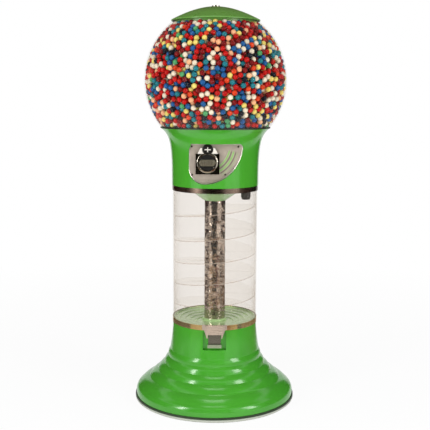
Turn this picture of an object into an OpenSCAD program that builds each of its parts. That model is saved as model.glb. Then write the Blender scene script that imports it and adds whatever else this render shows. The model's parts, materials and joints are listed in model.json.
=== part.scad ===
// Spiral gumball machine: a terraced base, a clear tower with a spiral ramp, a coin head and a globe.
// Millimetres. +Z is up, the front faces -Y, +X is the right-hand side, and z = 0 is the floor.

/* [Base] */
// Radius over the rubber foot trim
foot_r = 292; // [288:1:300]
// Height of the base shell's top above the floor
base_h = 285.5; // [280:0.5:292]
// Wall of the base and head shells
shell_wall = 4; // [3:0.5:5]
// Radius of the rounded shoulder above the foot
shoulder_r = 30; // [26:1:34]
// Height of the terraced flare
flare_h = 130; // [120:1:136]
// Number of terraces on the flare
terrace_count = 5; // [4:1:7]
// How far each terrace swells out of the flare
terrace_bulge = 3.5; // [1:0.5:5]
// Height of the foot trim
trim_h = 18; // [14:1:20]
// Wall of the foot trim
trim_wall = 3.2; // [2.6:0.2:4]
// Thickness of the steel base plate
base_plate_t = 3; // [2:0.5:4]
// Radius of the flange that holds the centre rod on the base plate
rod_flange_r = 42; // [36:1:50]
// Height of that flange
rod_flange_h = 24; // [18:1:30]

/* [Tower] */
// Outer radius of the clear tube
tube_r = 152.4; // [150:0.2:155]
// Wall of the clear tube
tube_wall = 3.2; // [2.6:0.2:4]
// Length of the clear tube
tube_len = 499; // [480:1:520]
// Height of each steel band
band_h = 18; // [14:1:22]
// Thickness of each steel band
band_t = 1.2; // [0.8:0.1:1.6]
// Outer radius of the column
column_r = 38.1; // [36:0.1:40]
// Wall of the column
column_wall = 2; // [1.6:0.1:3]
// Thickness of the clear ramp sheet
ramp_t = 3; // [2.4:0.2:3.6]
// Radius of the centre rod
rod_r = 6.35; // [6:0.05:6.6]

/* [Catch tray] */
// Height of the tray's rim above the foot of the tube
tray_rim_h = 16.5; // [14:0.5:20]
// Depth of the bowl's outer ring below the rim
rim_depth = 4; // [3:0.5:6]
// Number of rings stepped into the bowl
ring_count = 4; // [3:1:5]
// Width of each ring
ring_w = 19; // [16:1:20]
// How far each ring's centre lies in front of the last one's
ring_shift = 9; // [4:1:10]
// Drop from ring to ring
ring_drop = 2.2; // [1.5:0.1:2.6]
// Radius of the raised seat under the column
seat_r = 44; // [43:0.5:50]

/* [Chute] */
// Width of the pocket in the front of the base
pocket_w = 82; // [76:1:88]
// Height of the pocket
pocket_h = 64; // [60:1:66]
// How far the back of the pocket lies behind the tube's face
pocket_depth = 11.4; // [9.4:0.5:12.9]
// Width of the chute door
door_w = 44; // [40:1:46]
// Height of the chute door
door_h = 38.5; // [34:0.5:40]
// Thickness of the sheet metal in the chute and hood
sheet_t = 1.5; // [1:0.1:1.8]
// Width of the hood's front face
hood_face_w = 58; // [54:1:62]
// Width over the hood's cheeks
hood_w = 91; // [86:1:96]
// How far the hood's face stands in front of the tube
hood_reach = 12.6; // [10.6:0.5:15.6]
// Radius of the door's hinge pin
pin_r = 1.5; // [1.2:0.1:1.8]

/* [Head] */
// Height of the head shell
head_h = 202.5; // [198:0.5:210]
// Step out from the tube to the head shell
head_step = 3.2; // [2.8:0.2:4.4]
// How far the head flares out under the globe
flare_rise = 39; // [36:0.5:42]
// Thickness of the head's floor
floor_t = 3; // [2.5:0.5:4]
// Distance from the axis to the back of the mechanism recess
recess_y = 127; // [125:0.5:129]
// Radius of the recess's round side
recess_r = 134.5; // [132:0.5:137]
// Height of the recess's top edge above the head's floor
recess_top = 153; // [150:0.5:156]
// Height of the recess's lowest edge above the head's floor
recess_low = 13.5; // [12:0.5:16]
// Left edge of the recess
recess_left = 91; // [89:0.5:92]
// Radius of the recess's lower left corner
recess_corner_r = 52; // [50:1:54]
// Radius of the recess's upper right corner
recess_top_r = 14; // [10:1:16]
// Thickness of the front plate
front_plate_t = 1.5; // [1:0.1:2]

/* [Coin mechanism] */
// Sideways place of the handle's axis
mech_x = -27; // [-28:0.5:-26]
// Height of the handle's axis above the head's floor
mech_rise = 88.5; // [87:0.5:90]
// Width of the mechanism's face housing
housing_w = 82; // [78:1:86]
// Height of the face housing
housing_h = 70; // [68:1:74]
// Depth of the face housing
housing_d = 12.5; // [11:0.5:14]
// Outer radius of the bezel ring
bezel_r = 36.4; // [34:0.1:37.5]
// Radius of the coin carrier
carrier_r = 28; // [27:0.5:28.5]
// Radius of the handle's shaft
shaft_r = 4.75; // [4.5:0.05:5]
// Length of the handle's grip
grip_w = 54; // [50:1:56]
// Height of the handle's grip
grip_h = 18; // [14:1:20]
// Radius of the round coin entry
entry_r = 18.5; // [17:0.5:19.5]
// Height of the coin entry's centre above the handle's axis
entry_rise = 45; // [43:0.5:46]
// Diameter of a coin
coin_d = 24.3; // [22:0.1:25]
// Thickness of a coin
coin_t = 1.8; // [1.6:0.1:2]
// Teeth on each of the two spur gears
spur_teeth = 16; // [16:1:16]
// Module of the spur gears
spur_module = 2; // [1.98:0.01:2.02]
// Width of the gears on the two shafts
spur_w = 7; // [6:0.5:7.5]
// Radius of the layshaft
layshaft_r = 4; // [3.5:0.1:4.5]
// Teeth on the ratchet wheel
ratchet_teeth = 12; // [10:1:14]
// Radius of the ratchet wheel
ratchet_r = 17; // [16:0.5:18]

/* [Vending wheel] */
// Diameter of one gumball
gumball_d = 19.5; // [18.5:0.5:20.5]
// Number of pockets in the wheel
pocket_count = 6; // [5:1:6]
// Distance from the axis to the pockets' centres
pocket_orbit_r = 66; // [65.5:0.5:66]
// Module of the crown gear and its pinion
crown_module = 3; // [2.98:0.01:3.02]
// Teeth on the pinion
pinion_teeth = 10; // [10:1:10]
// Teeth on the crown gear under the wheel
crown_teeth = 60; // [60:1:60]
// Radial width of the crown teeth
crown_w = 12; // [10:0.5:12]
// Thickness of the pan's sheet
pan_t = 3; // [2.5:0.5:3]
// Direction of the drop spout, turned from the front towards the right
spout_az = 59; // [56:1:62]
// Distance from the axis to the spout's outlet
outlet_orbit_r = 127; // [125:0.5:128]
// Height of the black outlet below the head's floor
outlet_drop = 46.5; // [44:0.5:50]

/* [Globe] */
// Radius of the globe at its middle
globe_r = 254.5; // [250:0.5:260]
// Half of the globe's full height
globe_half_h = 258; // [253:0.5:263]
// Wall of the globe
globe_wall = 3.5; // [3:0.25:4]
// Thickness of the gasket under the globe
gasket_t = 2; // [1.5:0.25:3]
// Radius of the filling hole in the top of the globe
fill_hole_r = 146; // [142:0.5:147]

/* [Lid] */
// Radius of the lid's rim
lid_r = 157; // [155.5:0.5:160]
// Height of the lid's top above its rim line
lid_rise = 50.5; // [49:0.5:53]
// Radius of the lid's dome at its crown
lid_dome_r = 223; // [218:1:230]
// Distance from the axis at which the dome has mostly straightened out
lid_cone_r = 170; // [160:1:180]
// Thickness of the lid
lid_wall = 3; // [2.5:0.25:3.5]
// Depth of the lid's skirt inside the globe
skirt_h = 14; // [10:1:18]
// Radius of the lid lock
lock_r = 11; // [10:0.5:13]

/* [Clearances] */
// Gap between curved pieces that stand beside each other
seat_gap = 0.3; // [0.2:0.05:0.4]
// Radial clearance of a shaft or pin in its bore
run_gap = 0.08; // [0.05:0.01:0.1]
// Backlash cut from each side of a gear tooth
backlash = 0.25; // [0.15:0.05:0.35]

/* [Hidden] */
$fn = 96;
eps = 0.01;

green = "#4a9d35";
steel = "#b8b0a0";
dark_steel = "#4a443c";
clear = [0.85, 0.88, 0.88, 0.35];

// Heights of the stack, from the floor up
z_plate = 3;
z_plate_top = z_plate + base_plate_t;
z_rod = z_plate_top + 3.2;
z_tube = base_h;
z_tube_top = z_tube + tube_len;
z_floor = z_tube_top + floor_t;
z_rim = z_floor + head_h;
z_flange = z_rim + 2;
z_globe = z_flange + gasket_t;
rim_r = tube_r + head_step + flare_rise;
mouth_r = rim_r + 3;
z_centre = z_globe + globe_half_h * sqrt(1 - pow(mouth_r / globe_r, 2));
tube_in_r = tube_r - tube_wall;
band_out_r = tube_r + head_step - 1.2;

// Lid levels, measured where the lid's rim meets the globe
function globe_z(r, grow = 0) =
    z_centre + (globe_half_h + grow) * sqrt(1 - pow(r / (globe_r + grow), 2));
z_lid = globe_z(lid_r - 5);
z_lid_top = z_lid + lid_rise;
z_rod_top = z_lid_top - 21;

// Mechanism axes
mech_z = z_floor + mech_rise;
spur_r = spur_module * spur_teeth / 2;
lay_z = mech_z + sqrt(pow(2 * spur_r, 2) - pow(mech_x, 2));
pinion_r = crown_module * pinion_teeth / 2;
crown_r = crown_module * crown_teeth / 2;
z_pitch = lay_z + pinion_r;
plate_front = recess_y + front_plate_t;
housing_front = plate_front + housing_d;
gear_y = 110;
back_plate_y = 100;
back_plate_t = 3;
boss_len = 10;

// Vending wheel and pan
wheel_r = crown_r + crown_w / 2 + 2;
pan_r = wheel_r + 1.5;
z_crown_root = z_pitch + 1.25 * crown_module;
crown_addendum = 0.75 * crown_module;
z_pan = z_crown_root - 0.9;
z_wheel = z_pan + seat_gap;
z_trough = z_pitch - crown_module - 0.7;
wheel_h = gumball_d + 1.2;
z_wheel_top = z_wheel + wheel_h;
pan_wall_h = 8;
z_pan_lip = z_wheel_top + pan_wall_h;
ball_gap = 1.75;
pocket_r = gumball_d / 2 + ball_gap;
wheel_phase = spout_az - 90;
z_shield = z_wheel_top + 1.5;
shield_t = 3;

// Chute levels
pocket_top = z_tube - 6.5;
pocket_floor = pocket_top - pocket_h;
pocket_y = tube_r - pocket_depth;
hood_y = tube_r + hood_reach;
hood_side_y = tube_r - 5.9;
door_pin_y = tube_r + 0.6;
door_pin_z = pocket_top - 3.5;
sill_z = door_pin_z - door_h - 1;
duct_w = door_w;
barrel_r = pin_r + 1.2;
exit_w = duct_w - 2 * sheet_t - 3;
exit_y0 = tube_r - 44.4;
exit_y1 = tube_r - 16.4;
ledge_r = pocket_y - 3 - seat_gap;

// Direction helpers
function unit(v) = v / norm(v);
function inward(p, i) =
    let (d = unit(p[min(i + 1, len(p) - 1)] - p[max(i - 1, 0)])) [-d[1], d[0]];
function shifted(p, d) = [for (i = [0:len(p) - 1]) p[i] + d * inward(p, i)];
function reversed(p) = [for (i = [len(p) - 1:-1:0]) p[i]];
function arc(cx, cy, r, a0, a1, n) =
    [for (i = [0:n]) let (a = a0 + (a1 - a0) * i / n) [cx + r * cos(a), cy + r * sin(a)]];

// Inner side of a rising outline, with both ends cut level
function inner_side(p, wall) =
    let (q = shifted(p, wall), n = len(p) - 1)
    [for (i = [0:n]) (i == 0 || i == n) ? [q[i][0], p[i][1]] : q[i]];

module revolved_wall(outline, wall) {
    rotate_extrude() polygon(concat(outline, reversed(inner_side(outline, wall))));
}

// A ring between two radii and two heights
module ring(r_in, r_out, z0, z1) {
    translate([0, 0, z0]) difference() {
        cylinder(r = r_out, h = z1 - z0);
        translate([0, 0, -1]) cylinder(r = r_in, h = z1 - z0 + 2);
    }
}

// A cylinder along Y, from y0 at the front to y1 behind it
module y_rod(x, z, r, y0, y1) {
    translate([x, y0, z]) rotate([-90, 0, 0]) cylinder(r = r, h = y1 - y0);
}

// A box given by its two corners
module span(a, b) {
    translate(a) cube(b - a);
}

// A flat outline in X and Z, extruded along Y from y0 to y1
module y_plate(y0, y1) {
    translate([0, y1, 0]) rotate([90, 0, 0]) linear_extrude(y1 - y0) children();
}

// A flat outline in Y and Z, extruded along X from x0 to x1
module x_plate(x0, x1) {
    translate([x0, 0, 0]) rotate([90, 0, 90]) linear_extrude(x1 - x0) children();
}

// ---- Base -------------------------------------------------------------------------------------

foot_wall_r = foot_r - trim_wall - 0.3;
z_flare = shoulder_z(55);
neck_r = tube_r + 10.6;
z_neck = z_flare + flare_h;
shoulder_top_r = foot_wall_r - 0.5 - shoulder_r * (1 - cos(55));
function shoulder_z(a) = 29 + shoulder_r * sin(a);
function flare_r(z) =
    neck_r + (shoulder_top_r - neck_r) * pow((z_neck + 6 - z) / (flare_h + 6), 1.87);
flare_n = terrace_count * 8;
flare_line = [for (i = [0:flare_n]) let (z = z_flare + flare_h * i / flare_n) [flare_r(z), z]];
flare_outline = [
    for (i = [0:flare_n])
        flare_line[i] - terrace_bulge * abs(sin(180 * i / 8)) * inward(flare_line, i)
];
neck_n = 6;
neck_outline = [
    for (i = [1:neck_n])
        let (t = i / neck_n, r0 = flare_line[flare_n][0])
        [r0 + (tube_r - r0) * (1 - pow(1 - t, 1.6)), z_neck + (base_h - z_neck) * t]
];
lower_outline = concat(
    [[foot_wall_r, z_plate_top]],
    arc(foot_wall_r - 0.5 - shoulder_r, 29, shoulder_r, 0, 50, 10),
    flare_outline
);

trim_ledge = 24;
module foot_trim() color("#1d2218") rotate_extrude() {
    polygon(concat(
        [[foot_r - trim_ledge, 0], [foot_r - 5, 0]],
        arc(foot_r - 5, 6, 5, -75, 0, 5),
        [[foot_r, trim_h - 5], [foot_r - 1.2, trim_h - 1.2], [foot_r - trim_wall + 0.4, trim_h],
         [foot_r - trim_wall, trim_h - 1], [foot_r - trim_wall, z_plate],
         [foot_r - trim_ledge, z_plate]]
    ));
}

// The pocket is let into the front of the base, with walls of its own
module pocket_block(grow, back) {
    span([-pocket_w / 2 - grow, -foot_r, pocket_floor - grow],
         [pocket_w / 2 + grow, -back, pocket_top + grow]);
}

module base_shell() color(green) revolved_wall(lower_outline, shell_wall);

// The neck goes on where the last terrace ends, with the pocket and the ledge under the tube
upper_outline = concat([flare_line[flare_n]], neck_outline);

module neck_solid() {
    rotate_extrude() polygon(concat([[0, z_neck]], upper_outline, [[0, base_h]]));
}

module base_neck() color(green) difference() {
    union() {
        revolved_wall(upper_outline, shell_wall);
        ring(ledge_r, tube_r - 1, pocket_top + 1, base_h);
        intersection() {
            pocket_block(3, pocket_y - 3);
            neck_solid();
        }
    }
    pocket_block(0, pocket_y);
    span([-duct_w / 2 - seat_gap, -pocket_y - 1, sill_z - 9],
         [duct_w / 2 + seat_gap, -pocket_y + 4, pocket_top]);
}

module base_plate() color(dark_steel) difference() {
    translate([0, 0, z_plate]) cylinder(r = foot_r - trim_wall - seat_gap, h = base_plate_t);
    translate([0, 0, z_plate - 1]) cylinder(r = rod_r + 0.5, h = base_plate_t + 2);
}

flange_t = 8;
module rod_flange() color("#33332f") difference() {
    union() {
        translate([0, 0, z_plate_top]) cylinder(r = rod_flange_r, h = flange_t);
        translate([0, 0, z_plate_top]) cylinder(r = 2.4 * rod_r, h = rod_flange_h);
    }
    translate([0, 0, z_rod - 0.2]) cylinder(r = rod_r + run_gap, h = rod_flange_h);
}

module flange_bolts() color(steel)
    for (i = [0:3]) rotate(45 + 90 * i)
        translate([rod_flange_r * 0.72, 0, z_plate_top + flange_t])
            cylinder(r = 6.5, h = 5, $fn = 6);

// ---- Tower ------------------------------------------------------------------------------------

module centre_rod() color(steel)
    translate([0, 0, z_rod]) cylinder(r = rod_r, h = z_rod_top - z_rod);

// Hexagon nut with a plain hole that clears the rod
module rod_nut(z) {
    translate([0, 0, z]) difference() {
        cylinder(r = 11, h = 10, $fn = 6);
        translate([0, 0, -1]) cylinder(r = rod_r + run_gap, h = 12);
    }
}

nut_z = z_floor + 2;
pan_nut_z = z_pan - pan_t - 12;

// Each nut has its washer
module rod_nuts() color(steel) {
    rod_nut(nut_z);
    rod_nut(pan_nut_z);
    ring(rod_r + 0.4, 22, z_floor, nut_z);
    ring(rod_r + 0.4, 18, pan_nut_z + 10, pan_nut_z + 12);
}

// Bowl of the tray: each ring is lower than the last and is centred nearer to the front exit
bowl_r = tube_in_r - 4;
z_tray_rim = z_tube + tray_rim_h;
z_seat = z_tube + 11.5;
tray_low = pocket_top - 4.5;
step_slope = 2;

module bowl_ring(i) {
    r = bowl_r - ring_w * i;
    z = z_tray_rim - rim_depth - ring_drop * i;
    translate([0, -ring_shift * i, z]) cylinder(r1 = r - step_slope, r2 = r, h = ring_drop + eps);
    translate([0, -ring_shift * i, z + ring_drop]) cylinder(r = r, h = 2 * tray_rim_h);
}

module catch_tray() color(green) difference() {
    union() {
        difference() {
            union() {
                ring(1, tube_in_r - seat_gap, z_tube, z_tray_rim);
                ring(1, ledge_r - seat_gap, tray_low, z_tube);
            }
            for (i = [0:ring_count]) bowl_ring(i);
        }
        translate([0, 0, tray_low]) cylinder(r = seat_r, h = z_seat - tray_low);
    }
    translate([0, 0, tray_low - 1]) cylinder(r = rod_r + 1, h = 60);
    span([-exit_w / 2, -exit_y1, tray_low - 1], [exit_w / 2, -exit_y0, z_tray_rim + 1]);
}

module band(z0) color(steel) ring(band_out_r - band_t, band_out_r, z0, z0 + band_h);

module lower_band() band(z_tube);
module upper_band() band(z_floor - band_h);

module clear_tube() color(clear) ring(tube_in_r, tube_r, z_tube, z_tube_top);

z_column_top = z_floor - 42.5;
module column_tube() color("#8f867c") ring(column_r - column_wall, column_r, z_seat, z_column_top);

// The ramp is a flat sheet that climbs towards the right across the front. Its turns hang a little
// unevenly: their heights above the foot of the tube, where each starts and where the last one ends
ramp_levels = [30, 100, 182, 256, 338, 430];
ramp_end_az = 85;
ramp_n = 40;
function ramp_ring(k, i) =
    let (az = ramp_end_az - 90 + 360 * i / ramp_n, r0 = column_r + seat_gap,
         r1 = tube_in_r - seat_gap,
         z = z_tube + ramp_levels[k] + (ramp_levels[k + 1] - ramp_levels[k]) * i / ramp_n)
    [for (c = [[r0, 0], [r1, 0], [r1, ramp_t], [r0, ramp_t]])
        [c[0] * cos(az), c[0] * sin(az), z + c[1]]];

module ramp_turn(k) color(clear) {
    points = [for (i = [0:ramp_n]) each ramp_ring(k, i)];
    sides = [
        for (i = [0:ramp_n - 1], j = [0:3])
            let (a = 4 * i + j, b = 4 * i + (j + 1) % 4)
            each [[a, a + 4, b + 4], [a, b + 4, b]]
    ];
    top = 4 * ramp_n;
    polyhedron(points, concat(sides, [[0, 1, 2, 3], [top + 3, top + 2, top + 1, top]]));
}

// ---- Chute ------------------------------------------------------------------------------------

floor_low_y = tube_r - 6.4;
duct_low = sill_z - sheet_t;
duct_high = sill_z + (floor_low_y - exit_y0) * 0.66;

module chute_duct() color(steel) {
    z_top = tray_low - seat_gap;
    half = duct_w / 2;
    x_plate(-half, half) polygon([
        [-exit_y0 + 2, duct_high], [-exit_y0 + 2, duct_high - sheet_t], [-floor_low_y, duct_low],
        [-door_pin_y - 7, duct_low], [-door_pin_y - 7, sill_z], [-floor_low_y, sill_z]
    ]);
    for (s = [-half, half - sheet_t]) x_plate(s, s + sheet_t) polygon([
        [-exit_y0 + 2, duct_high - sheet_t], [-floor_low_y, duct_low],
        [-door_pin_y + barrel_r + 0.5, duct_low], [-door_pin_y + barrel_r + 0.5, z_top],
        [-exit_y0 + 2, z_top]
    ]);
    span([-half, -exit_y0 + 0.5, duct_high - sheet_t], [half, -exit_y0 + 0.5 + sheet_t, z_top]);
    span([-half - 2.5, -door_pin_y - 7 - sheet_t, sill_z - 11.5],
         [half + 2.5, -door_pin_y - 7, sill_z]);
}

hood_top = z_tube + 20.5;
module hood_plan(inset) {
    f = hood_face_w / 2 - inset * 0.6;
    y = -hood_y + inset;
    polygon([[-hood_w / 2 + inset, -exit_y0], [-hood_w / 2 + inset, -hood_side_y], [-f, y], [f, y],
             [hood_w / 2 - inset, -hood_side_y], [hood_w / 2 - inset, -exit_y0]]);
}

module chute_hood() color(steel) {
    z0 = door_pin_z - 15;
    tab_x = duct_w / 2 + 1.2;
    difference() {
        intersection() {
            difference() {
                translate([0, 0, z0]) linear_extrude(hood_top - z0) hood_plan(0);
                translate([0, 0, z0 - 1]) linear_extrude(hood_top - z0 + 1 - sheet_t)
                    hood_plan(sheet_t);
            }
            y_plate(-hood_y - 1, -exit_y0) polygon([
                [-hood_w / 2, hood_top], [hood_w / 2, hood_top], [hood_w / 2, z_tube + 3],
                [hood_w / 2 - 9, z_tube + 1.5], [27, z0], [door_w / 2 + 2, z0],
                [door_w / 2 + 2, door_pin_z - 2.5], [-door_w / 2 - 2, door_pin_z - 2.5],
                [-door_w / 2 - 2, z0], [-27, z0], [-hood_w / 2 + 9, z_tube + 1.5],
                [-hood_w / 2, z_tube + 3]
            ]);
        }
        translate([0, 0, z_tube - 1]) cylinder(r = band_out_r + seat_gap, h = 40);
        translate([0, 0, z0 - 1]) cylinder(r = tube_r + 1.2, h = z_tube - z0 + 1);
    }
    for (s = [-1, 1]) difference() {
        x_plate(s > 0 ? tab_x : -tab_x - sheet_t, s > 0 ? tab_x + sheet_t : -tab_x) polygon([
            [-hood_y + sheet_t, door_pin_z + 3], [-hood_y + sheet_t, door_pin_z - 4],
            [-door_pin_y + 3.5, door_pin_z - 4], [-door_pin_y + 3.5, door_pin_z + 3]
        ]);
        translate([-hood_w / 2, -door_pin_y, door_pin_z]) rotate([0, 90, 0])
            cylinder(r = pin_r + run_gap, h = hood_w);
    }
}

module door_pin() color(steel)
    translate([-duct_w / 2 - 3.4, -door_pin_y, door_pin_z]) rotate([0, 90, 0])
        cylinder(r = pin_r, h = duct_w + 6.8);

module chute_door() color("#5b524c") difference() {
    union() {
        span([-door_w / 2 + 0.2, -door_pin_y - sheet_t / 2, door_pin_z - door_h],
             [door_w / 2 - 0.2, -door_pin_y + sheet_t / 2, door_pin_z]);
        translate([-door_w / 2 + 0.2, -door_pin_y, door_pin_z]) rotate([0, 90, 0])
            cylinder(r = barrel_r, h = door_w - 0.4);
    }
    translate([-door_w / 2, -door_pin_y, door_pin_z]) rotate([0, 90, 0])
        cylinder(r = pin_r + run_gap, h = door_w);
}

// ---- Head -------------------------------------------------------------------------------------

collar_r = column_r + 3.2;
cone_r = column_r + 40;
z_collar = z_floor - 56.5;
z_cone = z_floor - 30.5;
spout_r = gumball_d / 2 + 3.1;
spout_bore_r = gumball_d / 2 + 1.1;
outlet_r = gumball_d / 2 + 7.2;
outlet_bore_r = outlet_r - 1.9;
outlet_taper_h = 9;
outlet_taper = 3.5;

module head_floor() color(green) difference() {
    union() {
        ring(rod_r + 1, tube_r, z_tube_top, z_floor);
        rotate_extrude() polygon([
            [column_r + seat_gap, z_collar], [collar_r, z_collar], [cone_r, z_cone],
            [tube_in_r - 4, z_tube_top - 4], [tube_in_r - 4, z_tube_top + eps],
            [tube_in_r - 9, z_tube_top + eps], [cone_r - 2, z_cone + 3.4],
            [column_r + 5, z_column_top + 3], [rod_r + 1, z_column_top + 3],
            [rod_r + 1, z_column_top], [column_r + seat_gap, z_column_top]
        ]);
    }
    at_orbit(outlet_orbit_r) translate([0, 0, z_collar])
        cylinder(r = outlet_r + seat_gap, h = z_tube_top - z_collar + floor_t + 1);
}

// Outline of the head shell, nearly straight at first and then flaring out to carry the globe
head_n = 36;
flare_start = 0.245;
function head_r(t) =
    let (u = max(0, (t - flare_start) / (1 - flare_start)))
    tube_r + head_step + 0.2 * min(1, t / flare_start)
    + (flare_rise - 0.2) * (0.36 * pow(u, 2) + 0.64 * pow(u, 7));
head_outline = [for (i = [0:head_n]) let (t = i / head_n) [head_r(t), z_floor + head_h * t]];

// The recess: a straight left side, a level top, a small corner at the upper right and, below,
// two arcs that meet at the lowest point
recess_cx = recess_corner_r - recess_left;
function recess_points(grow) =
    let (z_low = z_floor + recess_low, z_top = z_floor + recess_top,
         cx = recess_cx + recess_r - recess_top_r + 0.5, cz = z_top - recess_top_r)
    concat(
        arc(recess_cx, z_low + recess_corner_r, recess_corner_r + grow, 180, 262, 12),
        arc(recess_cx, z_low + recess_r, recess_r + grow, 270, 353, 24),
        arc(cx, cz, recess_top_r + grow, 0, 90, 6),
        [[8 - recess_left, z_top + grow], [-recess_left - grow, z_top - 22]]
    );

module recess_prism(grow, y0, y1) {
    y_plate(y0, y1) polygon(recess_points(grow));
}

module head_solid() {
    rotate_extrude() polygon(concat([[0, z_floor]], head_outline, [[0, z_rim]]));
}

open_l = 72;
open_r = 33;
open_low = mech_rise - 49;
open_top = recess_top - 8;

module head_shell() color(green) difference() {
    union() {
        revolved_wall(head_outline, shell_wall);
        intersection() {
            recess_prism(3, -rim_r, -recess_y + 3);
            head_solid();
        }
    }
    recess_prism(0, -rim_r - 1, -recess_y);
    span([-open_l, -recess_y - 1, z_floor + open_low], [open_r, -recess_y + 4, z_floor + open_top]);
}

screw_places = [
    [-recess_left + 9.5, recess_top - 9.5], [recess_cx + recess_r - 16, recess_top - 9.5],
    [-recess_left + 11, 46], [35, 47]
];

module front_plate() color(steel) difference() {
    recess_prism(-0.6, -plate_front, -recess_y);
    y_rod(mech_x, mech_z, boss_r + seat_gap, -plate_front - 1, -recess_y + 1);
    y_rod(0, lay_z, lay_boss_r + seat_gap, -plate_front - 1, -recess_y + 1);
    span([mech_x - coin_d / 2 - 1, -plate_front - 1, mech_z - housing_h / 2 + 2],
         [mech_x + coin_d / 2 + 1, -recess_y + 1, mech_z - housing_h / 2 + 6]);
}

module plate_screws() color("#7a7468")
    for (p = screw_places) {
        y_rod(p[0], z_floor + p[1], 3.6, -plate_front - 1.6, -plate_front);
    }

// ---- Coin mechanism ---------------------------------------------------------------------------

boss_r = 22;
lay_boss_r = layshaft_r + 2.6;
lay_bore_front = plate_front - 1.5;
cavity_r = carrier_r + 0.8;
housing_top = mech_z + housing_h / 2 - 5;
housing_back = plate_front;
boss_back = recess_y - 9;
entry_x = mech_x + 1;
entry_z = mech_z + entry_rise;
shoulder_low_w = 36;
shoulder_high_w = 25;

module mech_housing() color(dark_steel) difference() {
    union() {
        span([mech_x - housing_w / 2 + 0.5, -housing_front, mech_z - housing_h / 2 - 5],
             [mech_x + housing_w / 2 + 0.5, -housing_back, housing_top]);
        y_plate(-housing_front + 3, -housing_back) polygon([
            [entry_x - shoulder_low_w, housing_top - 1], [entry_x + shoulder_low_w, housing_top - 1],
            [entry_x + shoulder_high_w, entry_z + 6], [entry_x - shoulder_high_w, entry_z + 6]
        ]);
        y_rod(mech_x, mech_z, boss_r, -housing_back - 1, -boss_back);
        y_rod(0, lay_z, lay_boss_r, -housing_back - 1, -boss_back);
    }
    intersection() {
        y_rod(entry_x, entry_z, entry_r, -housing_front - 1, -housing_back + 1);
        span([entry_x - 60, -housing_front - 2, housing_top], [entry_x + 60, 0, entry_z + 60]);
    }
    y_rod(mech_x, mech_z, cavity_r, -housing_front - 1, -housing_back - 2.5);
    y_rod(mech_x, mech_z, shaft_r + run_gap, -housing_front, -boss_back + 1);
    y_rod(0, lay_z, layshaft_r + run_gap, -lay_bore_front, -boss_back + 1);
    span([mech_x - coin_d / 2 - 1, -housing_back - 6, mech_z + 10],
         [mech_x + coin_d / 2 + 1, -housing_back - 6 + coin_t + 1, mech_z + housing_h]);
    span([mech_x - coin_d / 2 - 1, -housing_back - 6, mech_z - housing_h / 2 + 1],
         [mech_x + coin_d / 2 + 1, -housing_back + 1, mech_z - housing_h / 2 + 6]);
}

module mech_bezel() color("#b4aca0") intersection() {
    translate([mech_x, -housing_front, mech_z]) rotate([90, 0, 0]) rotate_extrude() polygon([
        [carrier_r + 0.9, 0], [bezel_r, 0], [bezel_r, 1.2], [bezel_r - 1.4, 2.8],
        [carrier_r + 1.6, 2.8], [carrier_r + 0.9, 2]
    ]);
    span([mech_x - 60, -housing_front - 10, mech_z - 60],
         [mech_x + 60, -housing_front + 1, housing_top]);
}

module coin_entry() color("#23201a") {
    z = entry_z;
    x = entry_x;
    slot_y = -housing_back - 6;
    difference() {
        union() {
            y_rod(x, z, entry_r, -housing_front, -housing_back);
            y_rod(x, z, entry_r - 3, -housing_front - 2, -housing_front);
            for (s = [[10.5, 2.2], [2.2, 10.5]])
                span([x - s[0], -housing_front - 3.5, z - s[1]],
                     [x + s[0], -housing_front - 1, z + s[1]]);
        }
        span([mech_x - 60, -housing_front - 10, z - 60],
             [mech_x + 60, -housing_back + 1, housing_top]);
        span([mech_x - coin_d / 2 - 1, slot_y, z - 60],
             [mech_x + coin_d / 2 + 1, slot_y + coin_t + 1, z + 60]);
    }
}

post_places = [[-62, -34], [26, -34], [-62, 18], [26, -8]];

module mech_posts() color(steel)
    for (p = post_places) y_rod(p[0], mech_z + p[1], 4, -recess_y, -back_plate_y);

module post_screws() color("#7a7468")
    for (p = post_places)
        y_rod(p[0], mech_z + p[1], 3.2, -back_plate_y + back_plate_t,
              -back_plate_y + back_plate_t + 2);

module mech_back_plate() color(steel) difference() {
    span([-68, -back_plate_y, mech_z - 41],
         [33, -back_plate_y + back_plate_t, z_trough - pan_t - 1]);
    y_rod(mech_x, mech_z, shaft_r + run_gap, -back_plate_y - 1, -back_plate_y + back_plate_t + 1);
    y_rod(0, lay_z, layshaft_r + run_gap, -back_plate_y - 1, -back_plate_y + back_plate_t + 1);
}

module coin_carrier() color("#453f30") difference() {
    y_rod(mech_x, mech_z, carrier_r, -housing_front + 0.5, -housing_back - 3);
    y_rod(mech_x, mech_z, shaft_r + eps, -housing_front - 1, -housing_back);
    span([mech_x - coin_d / 2 - 0.3, -housing_back - 6, mech_z + 6],
         [mech_x + coin_d / 2 + 0.3, -housing_back - 6 + coin_t + 0.6, mech_z + carrier_r + 1]);
}

shaft_end = back_plate_y - back_plate_t - 5;
module mech_shaft() color(steel)
    y_rod(mech_x, mech_z, shaft_r, -housing_front - 8, -shaft_end);

module grip_handle() color("#6d6655") {
    front = housing_front + 13;
    difference() {
        union() {
            span([mech_x - grip_w / 2 + grip_h / 2, -front, mech_z - grip_h / 2],
                 [mech_x + grip_w / 2 - grip_h / 2, -housing_front + 0.5, mech_z + grip_h / 2]);
            for (s = [-1, 1])
                y_rod(mech_x + s * (grip_w - grip_h) / 2, mech_z, grip_h / 2, -front,
                      -housing_front + 0.5);
        }
        y_rod(mech_x, mech_z, shaft_r + eps, -housing_front - 8, -housing_front + 2);
    }
}

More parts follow.
